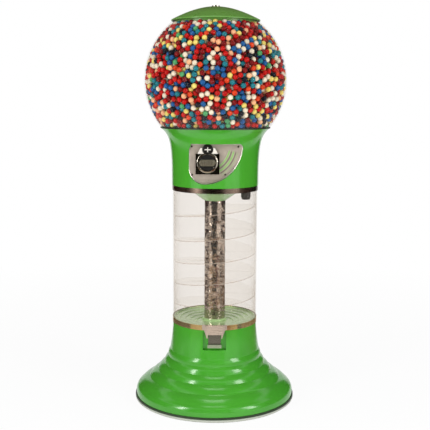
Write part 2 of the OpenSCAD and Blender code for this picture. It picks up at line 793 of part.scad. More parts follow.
// Involute spur gear outline, thinned by the backlash, with a tooth centred on the +X axis
function involute(rb, a) =
    [rb * (cos(a) + a * PI / 180 * sin(a)), rb * (sin(a) - a * PI / 180 * cos(a))];
function turned(p, a) = [p[0] * cos(a) - p[1] * sin(a), p[0] * sin(a) + p[1] * cos(a)];
function unwind(rb, r) = r <= rb ? 0 : sqrt(pow(r / rb, 2) - 1) * 180 / PI;
function gear_points(m, n, cut) =
    let (rp = m * n / 2, rb = rp * cos(20), ro = rp + m, rr = rp - 1.25 * m,
         ap = unwind(rb, rp), pitch_pt = involute(rb, ap), lean = atan2(pitch_pt[1], pitch_pt[0]),
         half = 90 / n - cut / rp * 180 / PI,
         flank = [for (i = [0:4]) let (r = rb + (ro - rb) * i / 4)
                     turned(involute(rb, unwind(rb, r)), -lean - half)])
    [for (k = [0:n - 1]) each concat(
        [turned([rr, 0], 360 * k / n - 180 / n + 20 / n)],
        [for (p = flank) turned(p, 360 * k / n)],
        [for (i = [4:-1:0]) turned([flank[i][0], -flank[i][1]], 360 * k / n)],
        [turned([rr, 0], 360 * k / n + 180 / n - 20 / n)]
    )];

// A gear on a shaft along Y, turned so that a tooth points along the given angle
module gear(x, z, m, n, bore, y0, y1, angle) {
    translate([x, y0, z]) rotate([-90, 0, 0]) linear_extrude(y1 - y0) difference() {
        rotate(-angle) polygon(gear_points(m, n, backlash));
        circle(r = bore + eps);
    }
}

mesh_angle = atan2(lay_z - mech_z, -mech_x);

module drive_gear() color("#c9a94f")
    gear(mech_x, mech_z, spur_module, spur_teeth, shaft_r, -gear_y, -gear_y + spur_w, mesh_angle);

module output_gear() color("#c9a94f")
    gear(0, lay_z, spur_module, spur_teeth, layshaft_r, -gear_y, -gear_y + spur_w,
         mesh_angle + 180 + 180 / spur_teeth);

module crown_pinion() color("#c9a94f")
    gear(0, lay_z, crown_module, pinion_teeth, layshaft_r, -crown_r - crown_w / 2,
         -crown_r + crown_w / 2, 90);

module layshaft() color(steel)
    y_rod(0, lay_z, layshaft_r, -lay_bore_front + 0.4, -crown_r + crown_w / 2 + 3);

ratchet_y = gear_y + 3;
module ratchet_wheel() color(steel) translate([mech_x, -ratchet_y - 4.2, mech_z]) rotate([-90, 0, 0])
    linear_extrude(3) difference() {
        polygon([for (k = [0:ratchet_teeth - 1]) each [
            turned([ratchet_r, 0], 360 * k / ratchet_teeth),
            turned([ratchet_r - 3, 0], 360 * (k + 0.08) / ratchet_teeth)
        ]]);
        circle(r = shaft_r + eps);
    }

module shaft_clip() color(steel) difference() {
    y_rod(mech_x, mech_z, shaft_r + 3, -shaft_end - 3.5, -shaft_end - 2.3);
    y_rod(mech_x, mech_z, shaft_r + eps, -shaft_end - 4, -shaft_end - 2);
    span([mech_x - 2.5, -shaft_end - 4, mech_z - 12], [mech_x + 2.5, -shaft_end - 2, mech_z]);
}

pawl_x = mech_x - 21;
pawl_z = mech_z + 21;
module pawl_pin() color(steel) y_rod(pawl_x, pawl_z, 1.8, -recess_y, -ratchet_y + 0.5);

// The pawl is a bar from its pin towards the wheel's rim, held just clear of the teeth
module ratchet_pawl() color("#8a8578") translate([pawl_x, -ratchet_y - 4.2, pawl_z])
    rotate([-90, 0, 0]) linear_extrude(3) difference() {
        union() {
            circle(r = 4.2);
            polygon([[0, -4], [16.5, -3.6], [17.5, 3.9], [12, 0.5], [0, 4]]);
        }
        circle(r = 1.8 + run_gap);
    }

module pawl_spring() color(steel) for (i = [0:2])
    translate([pawl_x, -ratchet_y - 6 - 1.3 * i, pawl_z]) rotate([90, 0, 0])
        rotate_extrude() translate([3.2, 0]) circle(r = 0.5, $fn = 24);

module coin_chute() color(steel) difference() {
    span([mech_x - coin_d / 2 - 3, -recess_y + 3.2, z_floor + box_h + 3],
         [mech_x + coin_d / 2 + 3, -back_plate_y - 0.5, mech_z - 24]);
    span([mech_x - coin_d / 2 - 1.5, -recess_y + 2, z_floor + box_h + 2],
         [mech_x + coin_d / 2 + 1.5, -back_plate_y - 2, mech_z - 23]);
}

// The cash box is as wide as the head allows
box_l = 84;
box_h = 34;
box_wall = 2;
box_y = recess_y - 8;
box_w = 2 * (sqrt(pow(tube_r - 7.5, 2) - pow(box_y, 2)) + mech_x);
module cash_box() color("#6b6f72") difference() {
    span([mech_x - box_w / 2, -box_y, z_floor], [mech_x + box_w / 2, box_l - box_y, z_floor + box_h]);
    span([mech_x - box_w / 2 + box_wall, box_wall - box_y, z_floor + box_wall],
         [mech_x + box_w / 2 - box_wall, box_l - box_wall - box_y, z_floor + box_h + 1]);
}

// ---- Hopper and vending wheel -----------------------------------------------------------------

module spout_place() rotate(spout_az - 90) children();
module at_orbit(r) spout_place() translate([r, 0, 0]) children();

funnel_r = rim_r - 12;
trough_r = crown_r - crown_w / 2 - 2;

module hopper_pan() color("#c8c8c4") difference() {
    union() {
        rotate_extrude() polygon([
            [rod_r + 0.4, z_pan], [trough_r, z_pan], [trough_r, z_trough], [pan_r, z_trough],
            [pan_r, z_pan_lip], [funnel_r, z_flange - 1], [funnel_r, z_flange],
            [rim_r + 1.7, z_flange], [rim_r + 1.7, z_rim], [funnel_r - 1, z_rim],
            [funnel_r - 1, z_rim - 3],
            [pan_r + 2.5, z_pan_lip - 2], [pan_r + 2.5, z_trough - pan_t],
            [trough_r - 2, z_trough - pan_t], [trough_r - 2, z_pan - pan_t],
            [rod_r + 0.4, z_pan - pan_t]
        ]);
        at_orbit(pocket_orbit_r) translate([0, 0, z_trough - pan_t])
            cylinder(r = pocket_r + 2, h = z_pan - z_trough + pan_t);
    }
    at_orbit(pocket_orbit_r) translate([0, 0, z_trough - pan_t - 1]) cylinder(r = pocket_r, h = 30);
    span([-pinion_r - crown_module - 1.5, -pan_r + 0.5, z_trough - pan_t - 1],
         [pinion_r + crown_module + 1.5, -trough_r - 0.5, z_trough + 1]);
}

module crown_tooth() {
    root_w = PI * crown_module / 2 - 2 * backlash;
    h0 = z_pitch - crown_addendum;
    lean = tan(20);
    tip = root_w / 2 - crown_addendum * lean;
    root = root_w / 2 + 1.25 * crown_module * lean;
    rotate([90, 0, 90]) translate([0, 0, crown_r - crown_w / 2]) linear_extrude(crown_w)
        polygon([[-tip, h0], [tip, h0], [root, z_crown_root + 0.5], [-root, z_crown_root + 0.5]]);
}

// The toothed ring sits in a rebate round the wheel's underside
z_web = z_crown_root + 3;
crown_in_r = crown_r - crown_w / 2 - 1;

module crown_gear() color("#cfc6ae") {
    ring(crown_in_r, wheel_r, z_crown_root, z_web);
    for (k = [0:crown_teeth - 1]) rotate(-90 + 360 * (k + 0.5) / crown_teeth) crown_tooth();
}

module vending_wheel() color("#d8d4c8") difference() {
    union() {
        ring(rod_r + run_gap, wheel_r, z_web, z_wheel_top);
        ring(rod_r + run_gap, crown_in_r, z_crown_root, z_web + eps);
        ring(rod_r + run_gap, trough_r - 1.5, z_wheel, z_crown_root + eps);
    }
    for (k = [0:pocket_count - 1]) rotate(wheel_phase + 360 * k / pocket_count)
        translate([pocket_orbit_r, 0, z_wheel - 1]) cylinder(r = pocket_r, h = wheel_h + 2);
}

module agitator() color(steel) {
    ring(rod_r + run_gap + 0.3, 20, z_wheel_top, z_wheel_top + 7);
    for (k = [0:1]) rotate(30 + 180 * k) translate([16, 0, z_wheel_top + 4]) rotate([0, 52, 0])
        cylinder(r = 2.5, h = 52);
}

module sector(r0, r1, z0, z1, a) {
    difference() {
        ring(r0, r1, z0, z1);
        for (s = [-1, 1]) rotate(s * a) translate([-200, s > 0 ? 0 : -400, z0 - 1])
            cube([400, 400, z1 - z0 + 2]);
    }
}

module ball_shield() color("#9a978e") spout_place() {
    sector(30, pan_r - seat_gap, z_shield, z_shield + shield_t, 30);
    sector(pan_r - 3, pan_r - seat_gap, z_shield + shield_t, z_pan_lip, 30);
}

module brush_strip() color("#2b2a27") spout_place() rotate(30)
    span([34, -6, z_shield - 0.9], [pan_r - 5, -1, z_shield]);

spout_top_z = z_trough - pan_t - seat_gap;
outlet_z = z_floor + 4;
outlet_low = z_floor - outlet_drop;
spout_dx = outlet_orbit_r - pocket_orbit_r;
spout_dz = spout_top_z - outlet_z;
spout_lean = atan(spout_dx / spout_dz);
spout_over = 30;

// The leaning part of the spout's path, cut level at two heights
module leaning(r, z0, z1) {
    intersection() {
        translate([outlet_orbit_r, 0, outlet_z]) rotate([0, -spout_lean, 0])
            translate([0, 0, -spout_over])
                cylinder(r = r, h = norm([spout_dx, spout_dz]) + 2 * spout_over);
        span([0, -60, z0], [2 * outlet_orbit_r, 60, z1]);
    }
}

module drop_spout() color("#1c1a18") spout_place() difference() {
    union() {
        leaning(spout_r, outlet_z, spout_top_z);
        outlet_body(outlet_r, outlet_low, outlet_z + 3);
    }
    leaning(spout_bore_r, outlet_z - 1, spout_top_z + 1);
    outlet_body(outlet_bore_r, outlet_low - eps, outlet_z);
}

// Upright outlet that narrows at its foot
module outlet_body(r, z0, z1) translate([outlet_orbit_r, 0, 0]) {
    z_waist = outlet_low + outlet_taper_h;
    translate([0, 0, z0]) cylinder(r1 = r - outlet_taper, r2 = r, h = z_waist - z0);
    translate([0, 0, z_waist - eps]) cylinder(r = r, h = z1 - z_waist + eps);
}

// ---- Globe and lid ----------------------------------------------------------------------------

// Points of the globe's side between two heights, inset by its wall
globe_n = 60;
function globe_side(inset, a0, a1) = [
    for (i = [0:globe_n]) let (a = a0 + (a1 - a0) * i / globe_n)
        [(globe_r - inset) * cos(a), z_centre + (globe_half_h - inset) * sin(a)]
];
function cut_angle_z(inset, z) = asin((z - z_centre) / (globe_half_h - inset));
function cut_angle_r(inset, r) = acos(r / (globe_r - inset));

module globe() color(clear) rotate_extrude() polygon(concat(
    globe_side(0, cut_angle_z(0, z_globe), cut_angle_r(0, fill_hole_r)),
    reversed(globe_side(globe_wall, cut_angle_z(globe_wall, z_globe),
                        cut_angle_r(globe_wall, fill_hole_r)))
));

module globe_gasket() color("#1d1d1b")
    ring(mouth_r - globe_wall - 6, mouth_r - 1.2, z_flange, z_globe);

// The fill is one solid. Lumps about two gumballs apart stand for the balls against the glass
fill_gap = 1;
z_fill_top = globe_z(fill_hole_r) - skirt_h - 8;
z_void = z_wheel_top + 50;
void_r = 64;
lump_step = 1.1 * gumball_d;
lump_depth = 0.55 * gumball_d;
fill_cols = 2 * round(PI * globe_r / lump_step);
fill_a0 = cut_angle_z(globe_wall, z_globe) + 1.5;
fill_a1 = cut_angle_z(globe_wall + fill_gap, z_fill_top);
fill_rows = 2 * round((fill_a1 - fill_a0) * PI / 360 * globe_r / lump_step);
heap_r = (globe_r - globe_wall - fill_gap) * cos(fill_a1);
heap_rows = 2 * round(heap_r / 2 / lump_step);

function is_lump(i, j) = j % 2 == 0 && (i + j / 2) % 2 == 0;
function fill_side(i, j) =
    let (a = fill_a0 + (fill_a1 - fill_a0) * j / fill_rows,
         inset = globe_wall + fill_gap + (is_lump(i, j) ? 0 : lump_depth))
    [(globe_r - inset) * cos(a), z_centre + (globe_half_h - inset) * sin(a)];
function fill_heap(i, j) =
    [heap_r * (1 - j / (heap_rows + 1)), z_fill_top - (is_lump(i, fill_rows + j) ? 0 : lump_depth)];
function fill_profile(i) = concat(
    [[void_r, z_pan_lip + 4], [pan_r - 2, z_pan_lip + 4], [funnel_r - 1, z_flange + fill_gap],
     [mouth_r - globe_wall - 7, z_globe]],
    [for (j = [0:fill_rows]) fill_side(i, j)],
    [for (j = [1:heap_rows]) fill_heap(i, j)],
    [[rod_r + 1, z_fill_top - lump_depth], [rod_r + 1, z_void], [void_r, z_void]]
);

module gumball_fill() color("#b5483c") {
    foot = 4;
    m = len(fill_profile(0));
    points = [
        for (i = [0:fill_cols - 1], p = fill_profile(i))
            let (az = 360 * i / fill_cols) [p[0] * cos(az), p[0] * sin(az), p[1]]
    ];
    faces = [
        for (i = [0:fill_cols - 1], j = [0:m - 1])
            let (i2 = (i + 1) % fill_cols, j2 = (j + 1) % m,
                 a = i * m + j, b = i * m + j2, c = i2 * m + j2, d = i2 * m + j,
                 ridge = is_lump(i, j - foot) || is_lump(i + 1, j + 1 - foot))
            each ridge ? [[a, b, c], [a, c, d]] : [[b, c, d], [b, d, a]]
    ];
    polyhedron(points, faces);
}

// Outer face of the lid: a dome that turns down into a short upright rim
lid_n = 32;
function dome_z(r, inset) =
    z_lid_top - inset - pow(lid_cone_r, 2) / lid_dome_r * (sqrt(1 + pow(r / lid_cone_r, 2)) - 1);
lid_edge_h = 4;
function dome_points(r_rim, inset, from_rim) =
    [for (i = [0:lid_n]) let (r = r_rim * (from_rim ? 1 - i / lid_n : i / lid_n)) [r, dome_z(r, inset)]];

module lid() color(green) difference() {
    union() {
        rotate_extrude() polygon(concat(
            [[lid_r - 1, dome_z(lid_r, lid_edge_h)], [lid_r, dome_z(lid_r, lid_edge_h - 1)],
             [lid_r, dome_z(lid_r, 1)]],
            dome_points(lid_r - 1, 0, true),
            dome_points(lid_r - lid_wall, lid_wall, false),
            [[lid_r - lid_wall, dome_z(lid_r, lid_edge_h)]]
        ));
        rotate_extrude() polygon([
            [fill_hole_r - 4, z_skirt], [fill_hole_r - 1.5, z_skirt],
            [fill_hole_r - 1.5, dome_z(fill_hole_r - 4, lid_wall) + 1],
            [fill_hole_r - 4, dome_z(fill_hole_r - 4, lid_wall) + 1]
        ]);
    }
    translate([0, 0, z_lid]) cylinder(r = lock_r + 0.1, h = 2 * lid_rise);
}

z_skirt = globe_z(fill_hole_r) - skirt_h;

module lid_gasket() color("#1d1d1b") rotate_extrude() {
    r0 = fill_hole_r - 1;
    r1 = lid_r - lid_wall - 0.3;
    polygon([
        [r0, globe_z(fill_hole_r) + 0.3], [fill_hole_r + 0.3, globe_z(fill_hole_r) + 0.3],
        [r1, globe_z(r1) + 0.4], [r1, dome_z(r1, lid_wall) - 0.2],
        [r0, dome_z(r0, lid_wall) - 0.2]
    ]);
}

z_barrel = z_rod_top - 12;
lock_flange_t = 3;
module lock_barrel() color("#9b9890") difference() {
    union() {
        translate([0, 0, z_barrel]) cylinder(r = lock_r, h = z_lid_top + 1 - z_barrel);
        translate([0, 0, z_lid_top]) cylinder(r = lock_r + 3, h = lock_flange_t);
    }
    translate([0, 0, z_barrel - 1]) cylinder(r = rod_r + 0.5, h = 14);
    translate([0, 0, z_rod_top + 3]) cylinder(r = lock_r - 3, h = 40);
}

module lock_plug() color("#b9b4aa") difference() {
    translate([0, 0, z_rod_top + 3.2])
        cylinder(r = lock_r - 3 - run_gap, h = z_lid_top + lock_flange_t + 2 - z_rod_top - 3.2);
    translate([-0.8, -4, z_lid_top - 5]) cube([1.6, 8, 12]);
}

// ---- Nodes ------------------------------------------------------------------------------------

foot_trim();
base_shell();
base_neck();
base_plate();
rod_flange();
flange_bolts();
centre_rod();
rod_nuts();
catch_tray();
lower_band();
clear_tube();
column_tube();
ramp_turn(0);  // ramp_turn_1
ramp_turn(1);  // ramp_turn_2
ramp_turn(2);  // ramp_turn_3
ramp_turn(3);  // ramp_turn_4
ramp_turn(4);  // ramp_turn_5
chute_duct();
chute_hood();
door_pin();
chute_door();
head_floor();
upper_band();
head_shell();
front_plate();
plate_screws();
mech_housing();
mech_bezel();
coin_entry();
mech_posts();
mech_back_plate();
post_screws();
coin_carrier();
mech_shaft();
grip_handle();
ratchet_wheel();
drive_gear();
shaft_clip();
layshaft();
output_gear();
crown_pinion();
pawl_pin();
ratchet_pawl();
pawl_spring();
coin_chute();
cash_box();
hopper_pan();
vending_wheel();
crown_gear();
agitator();
ball_shield();
brush_strip();
drop_spout();
globe_gasket();
globe();
gumball_fill();
lid();
lid_gasket();
lock_barrel();
lock_plug();
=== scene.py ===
"""Looks of a spiral gumball machine: finishes, loose gumballs, metalwork, studio and camera."""

import json
import logging
import math
from dataclasses import dataclass, field
from enum import Enum
from typing import Sequence

import bmesh
import bpy
import numpy as np
from mathutils import Matrix, Vector, kdtree


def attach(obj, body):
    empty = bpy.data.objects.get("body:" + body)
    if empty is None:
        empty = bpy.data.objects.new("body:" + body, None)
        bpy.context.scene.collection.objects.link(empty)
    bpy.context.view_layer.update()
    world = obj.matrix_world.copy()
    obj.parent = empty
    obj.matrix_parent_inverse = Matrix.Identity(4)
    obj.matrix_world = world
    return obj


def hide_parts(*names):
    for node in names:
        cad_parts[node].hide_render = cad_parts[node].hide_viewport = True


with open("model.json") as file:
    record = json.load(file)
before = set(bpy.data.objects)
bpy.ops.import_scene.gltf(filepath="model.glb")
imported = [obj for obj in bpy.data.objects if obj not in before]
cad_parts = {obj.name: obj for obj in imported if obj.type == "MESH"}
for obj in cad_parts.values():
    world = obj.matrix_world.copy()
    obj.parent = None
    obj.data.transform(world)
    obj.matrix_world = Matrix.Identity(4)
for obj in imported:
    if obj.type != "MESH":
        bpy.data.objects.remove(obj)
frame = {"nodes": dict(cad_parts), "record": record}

logging.basicConfig(level=logging.INFO, format="%(name)s: %(message)s")
log = logging.getLogger("gumball_machine")

Socket = bpy.types.NodeSocket
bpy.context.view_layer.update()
RADIAL_STEPS = 96
GRAIN = 0.0002  # full height of a fine grain, in metres
RIPPLE = 0.0004  # full height of a ripple in enamel or candy, in metres
CLEAR_LAYERS = 32  # clear faces a line of sight may pass, such as ramp turns seen from above


class Body(str, Enum):
    """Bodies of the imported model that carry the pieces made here."""

    MACHINE = "machine"
    HANDLE = "handle"


class Along(Enum):
    """Direction of a brushed or drawn finish, as the axis that its lines follow."""

    X = (0.04, 1.0, 1.0)
    Y = (1.0, 0.04, 1.0)
    Z = (1.0, 1.0, 0.04)


def srgb(code: str) -> tuple[float, float, float, float]:
    """Turns a hex colour into linear light.

    Args:
        code: Six hex digits, such as "4fa13d".

    Returns:
        Linear red, green, blue and an alpha of 1.
    """
    parts = [int(code[i : i + 2], 16) / 255 for i in (0, 2, 4)]
    linear = [c / 12.92 if c <= 0.04045 else ((c + 0.055) / 1.055) ** 2.4 for c in parts]
    return (linear[0], linear[1], linear[2], 1.0)


def dimmed(colour: Sequence[float], factor: float) -> tuple[float, float, float, float]:
    """Scales a linear colour and keeps it opaque."""
    return (colour[0] * factor, colour[1] * factor, colour[2] * factor, 1.0)


# ---- Finishes ----


class Recipe:
    """A material's node tree while it is being put together."""

    def __init__(self, name: str) -> None:
        """Starts a tree with its output and its coordinates.

        Args:
            name: Name of the material.
        """
        self.material = bpy.data.materials.new(name)
        self.material.use_nodes = True
        self.tree = self.material.node_tree
        self.tree.nodes.clear()
        self.output = self.tree.nodes.new("ShaderNodeOutputMaterial")
        self.coords = self.tree.nodes.new("ShaderNodeTexCoord")

    def add(self, kind: str, **values: object) -> bpy.types.Node:
        """Adds a node and sets its sockets or properties.

        Args:
            kind: Node type without its ShaderNode prefix.
            **values: Socket names with underscores for spaces, or node properties.

        Returns:
            The new node.
        """
        node = self.tree.nodes.new("ShaderNode" + kind)
        for key, value in values.items():
            socket = node.inputs.get(key.replace("_", " "))
            if socket is not None:
                socket.default_value = value
            else:
                setattr(node, key, value)
        return node

    def link(self, source: Socket, target: Socket) -> None:
        """Links two sockets."""
        self.tree.links.new(source, target)

    def fill(self, node: bpy.types.Node, terms: Sequence[Socket | float | Sequence[float]]) -> None:
        """Links or sets a node's first inputs.

        Args:
            node: The node.
            terms: Sockets, numbers or vectors, in the order of its inputs.
        """
        for socket, term in zip(node.inputs, terms):
            if isinstance(term, bpy.types.NodeSocket):
                self.link(term, socket)
            else:
                socket.default_value = term

    def number(self, operation: str, *terms: Socket | float) -> Socket:
        """Adds a step of arithmetic on numbers.

        Args:
            operation: The step's name, such as ADD.
            *terms: What it works on.

        Returns:
            The result's socket.
        """
        node = self.add("Math", operation=operation)
        self.fill(node, terms)
        return node.outputs[0]

    def vector(self, operation: str, *terms: Socket | Sequence[float]) -> Socket:
        """Adds a step of arithmetic on vectors.

        Args:
            operation: The step's name, such as SUBTRACT.
            *terms: What it works on.

        Returns:
            The result's socket, a number for a length or a dot product.
        """
        node = self.add("VectorMath", operation=operation)
        self.fill(node, terms)
        return node.outputs["Value" if operation in ("LENGTH", "DOT_PRODUCT") else "Vector"]

    def place(self) -> Socket:
        """Gives the object coordinates."""
        return self.coords.outputs["Object"]

    def from_axis(self) -> Socket:
        """Gives the distance from the machine's upright axis."""
        return self.vector("LENGTH", self.vector("MULTIPLY", self.place(), (1, 1, 0)))

    def height(self) -> Socket:
        """Gives the height above the floor."""
        apart = self.add("SeparateXYZ")
        self.link(self.place(), apart.inputs[0])
        return apart.outputs["Z"]

    def noise(
        self, scale: float, detail: float = 2.0, stretch: Sequence[float] = (1, 1, 1)
    ) -> Socket:
        """Adds a noise pattern on object coordinates.

        Args:
            scale: Scale of the noise, in cycles per metre.
            detail: Octaves of detail.
            stretch: Multipliers of the coordinates.

        Returns:
            The noise value's socket.
        """
        mapping = self.add("Mapping", Scale=tuple(stretch))
        self.link(self.place(), mapping.inputs["Vector"])
        noise = self.add("TexNoise", Scale=scale, Detail=detail)
        self.link(mapping.outputs["Vector"], noise.inputs["Vector"])
        return noise.outputs["Fac"]

    def spread(
        self, value: Socket, low: float, high: float, start: float = 0.3, end: float = 0.7
    ) -> Socket:
        """Maps a pattern to a range of values.

        Args:
            value: The pattern.
            low: Result where the pattern is at start.
            high: Result where the pattern is at end.
            start: First edge of the pattern's used range.
            end: Last edge of the pattern's used range.

        Returns:
            The mapped value's socket.
        """
        node = self.add("MapRange")
        self.fill(node, (value, start, end, low, high))
        return node.outputs["Result"]

    def tint(self, pattern: Socket, first: Sequence[float], second: Sequence[float]) -> Socket:
        """Blends two colours by a pattern.

        Args:
            pattern: Pattern between 0 and 1.
            first: Colour where the pattern is 0.
            second: Colour where the pattern is 1.

        Returns:
            The blended colour's socket.
        """
        node = self.add("Mix", data_type="RGBA")
        node.inputs[6].default_value = tuple(first)
        node.inputs[7].default_value = tuple(second)
        self.link(pattern, node.inputs[0])
        return node.outputs[2]

    def cloud(
        self, shader: bpy.types.Node, code: str, pattern: Socket, low: float, high: float
    ) -> None:
        """Gives a shader a colour that wavers with a pattern.

        Args:
            shader: The shader.
            code: The colour's hex code.
            pattern: Pattern between 0 and 1.
            low: Brightness where the pattern is 0.
            high: Brightness where the pattern is 1.
        """
        base = srgb(code)
        self.link(self.tint(pattern, dimmed(base, low), dimmed(base, high)),
                  shader.inputs["Base Color"])

    def rough(self, shader: bpy.types.Node, pattern: Socket, low: float, high: float) -> None:
        """Gives a shader a roughness that runs from low to high with a noise pattern."""
        self.link(self.spread(pattern, low, high), shader.inputs["Roughness"])

    def bump(
        self, shader: bpy.types.Node, height: Socket, distance: float, strength: float
    ) -> None:
        """Gives a shader a bumped normal.

        Args:
            shader: The shader.
            height: Pattern read as height.
            distance: Full height in metres.
            strength: How strongly it shows, from 0 to 1.
        """
        node = self.add("Bump", Distance=distance, Strength=strength)
        self.link(height, node.inputs["Height"])
        self.link(node.outputs["Normal"], shader.inputs["Normal"])

    def over(self, amount: Socket, below: bpy.types.Node, above: bpy.types.Node) -> bpy.types.Node:
        """Lays one shader over another.

        Args:
            amount: How much of the upper one shows, from 0 to 1.
            below: The lower shader.
            above: The upper shader.

        Returns:
            The mix of both.
        """
        node = self.add("MixShader")
        self.fill(node, (amount, below.outputs[0], above.outputs[0]))
        return node

    def finish(self, shader: bpy.types.Node) -> bpy.types.Material:
        """Links a shader to the output and returns the material."""
        self.link(shader.outputs[0], self.output.inputs["Surface"])
        return self.material


@dataclass(frozen=True)
class Enamel:
    """Glossy opaque shell of enamel or moulded plastic, with a faint ripple."""

    name: str
    colour: str
    roughness: float = 0.16
    ripple: float = 0.12
    coat: float = 0.25

    def build(self) -> bpy.types.Material:
        """Makes the material."""
        r = Recipe(self.name)
        shader = r.add("BsdfPrincipled", IOR=1.5, Coat_Weight=self.coat, Coat_Roughness=0.08)
        r.cloud(shader, self.colour, r.spread(r.noise(9.0, 3.0), 0, 1), 0.95, 1.05)
        r.rough(shader, r.noise(60.0, 4.0), self.roughness * 0.8, self.roughness * 1.3)
        r.bump(shader, r.noise(140.0, 2.0), RIPPLE, self.ripple)
        return r.finish(shader)


@dataclass(frozen=True)
class Metal:
    """Metal whose grain runs one way, from satin sheet to a polished tube."""

    name: str
    colour: str
    roughness: float
    along: Along = Along.X
    grain: float = 0.25
    smudge: float = 0.12
    metallic: float = 1.0

    def build(self) -> bpy.types.Material:
        """Makes the material."""
        r = Recipe(self.name)
        lines = r.noise(900.0, 3.0, self.along.value)
        soft_patches = r.noise(22.0, 4.0)
        shader = r.add("BsdfPrincipled", Metallic=self.metallic)
        r.cloud(shader, self.colour, r.spread(soft_patches, 0, 1), 0.88, 1.08)
        total = r.number("ADD", r.spread(lines, self.roughness * 0.75, self.roughness * 1.25),
                         r.spread(soft_patches, 0.0, self.smudge, 0.45, 0.8))
        r.link(total, shader.inputs["Roughness"])
        r.bump(shader, lines, GRAIN, self.grain)
        return r.finish(shader)


@dataclass(frozen=True)
class PaintedRipplePlate:
    """Satin plate with a few ripples round a point, drawn only in its colour: a painted green
    reflection of the wall beside the plate on their crests, painted shade in their troughs.

    The ripples fill a part of a ring: its centre is an X and a Z, and its heading is turned up
    from the right, in degrees.
    """

    name: str
    colour: str
    glint: str
    shade: str
    centre: tuple[float, float] = (-0.039, 0.9355)
    ring: float = 0.101
    half_width: float = 0.021
    pitch: float = 0.0150
    heading: float = -36.0
    half_turn: float = 24.0
    metallic: float = 0.35
    roughness: float = 0.34

    def ripples(self, r: Recipe) -> Socket:
        """Lays out the ripples in the plate's own plane.

        Args:
            r: Recipe that gets the nodes.

        Returns:
            Their wave, from -1 to 1 and 0 outside them, which places the painted reflection and the
            painted shade.
        """
        x, z = self.centre
        turn, limit = math.radians(self.heading), math.cos(math.radians(self.half_turn))
        flat = r.vector("MULTIPLY", r.vector("SUBTRACT", r.place(), (x, 0, z)), (1, 0, 1))
        ahead = (math.cos(turn), 0, math.sin(turn))
        along = r.vector("DOT_PRODUCT", r.vector("NORMALIZE", flat), ahead)
        inside = r.spread(along, 0, 1, limit - 0.02, limit + 0.02)
        offset = r.number("SUBTRACT", r.vector("LENGTH", flat), self.ring)
        near = r.spread(r.number("ABSOLUTE", offset), 1, 0, self.half_width * 0.6, self.half_width)
        wave = r.number("SINE", r.number("MULTIPLY", offset, math.tau / self.pitch))
        return r.number("MULTIPLY", wave, r.number("MULTIPLY", inside, near))

    def build(self) -> bpy.types.Material:
        """Makes the material."""
        r = Recipe(self.name)
        height = self.ripples(r)
        soft_patches = r.noise(40.0, 4.0)
        satin = r.add("BsdfPrincipled", Metallic=self.metallic)
        r.cloud(satin, self.colour, r.spread(soft_patches, 0, 1), 0.9, 1.08)
        r.rough(satin, soft_patches, self.roughness * 0.8, self.roughness * 1.2)
        # Crests take the glint colour, a painted green reflection; troughs take the shade colour,
        # painted shade.
        crest = r.add("BsdfPrincipled", Base_Color=srgb(self.glint), Roughness=0.2)
        trough = r.add("BsdfPrincipled", Base_Color=srgb(self.shade), Roughness=0.25)
        crested = r.over(r.spread(height, 0, 0.8, 0.05, 0.8), satin, crest)
        return r.finish(r.over(r.spread(height, 0.7, 0, -0.8, -0.1), crested, trough))


@dataclass(frozen=True)
class EnamelWithPaintedCrownShade:
    """Enamel of a round cover with painted shade: darker and duller round its crown."""

    name: str
    colour: str
    crown: str
    roughness: float = 0.25
    crown_r: float = 0.03
    fade_r: float = 0.115

    def build(self) -> bpy.types.Material:
        """Makes the material."""
        r = Recipe(self.name)
        # Painted shade: the colour turns to the crown colour near the axis.
        amount = r.spread(r.from_axis(), 1, 0, self.crown_r, self.fade_r)
        shader = r.add("BsdfPrincipled", IOR=1.45)
        r.link(r.tint(amount, srgb(self.colour), srgb(self.crown)), shader.inputs["Base Color"])
        r.rough(shader, r.noise(60.0, 4.0), self.roughness * 0.8, self.roughness * 1.3)
        r.bump(shader, r.noise(60.0, 2.0), RIPPLE, 0.05)
        return r.finish(shader)


@dataclass(frozen=True)
class WavyChrome:
    """Thin polished tube whose wall is slightly dented, so that what it mirrors breaks up; its
    colour also swings in soft patches, which paints part of that mottled reflection.
    """

    name: str
    colour: str
    roughness: float = 0.05
    dents: float = 45.0
    dent_depth: float = 0.005
    strength: float = 0.9

    def build(self) -> bpy.types.Material:
        """Makes the material."""
        r = Recipe(self.name)
        soft_patches = r.noise(34.0, 5.0, (1, 1, 0.6))
        shader = r.add("BsdfPrincipled", Metallic=1.0)
        # Painted reflection mottle: the colour runs from 0.6 to 1.1 of its value in soft patches.
        r.cloud(shader, self.colour, r.spread(soft_patches, 0, 1, 0.35, 0.65), 0.6, 1.1)
        r.rough(shader, soft_patches, self.roughness * 0.6, self.roughness * 2.2)
        r.bump(shader, r.noise(self.dents, 3.0, (1, 1, 0.8)), self.dent_depth, self.strength)
        return r.finish(shader)


@dataclass(frozen=True)
class Moulded:
    """Plain moulded plastic, rubber or powder coat with a fine texture."""

    name: str
    colour: str
    roughness: float
    pore: float = 0.3
    scale: float = 900.0
    spread: float = 0.12

    def build(self) -> bpy.types.Material:
        """Makes the material."""
        r = Recipe(self.name)
        shader = r.add("BsdfPrincipled", IOR=1.48)
        clouds = r.spread(r.noise(14.0, 4.0), 0, 1)
        r.cloud(shader, self.colour, clouds, 1 - self.spread, 1 + self.spread)
        r.rough(shader, r.noise(80.0, 3.0), self.roughness * 0.85, self.roughness * 1.15)
        r.bump(shader, r.noise(self.scale, 2.0), GRAIN, self.pore)
        return r.finish(shader)


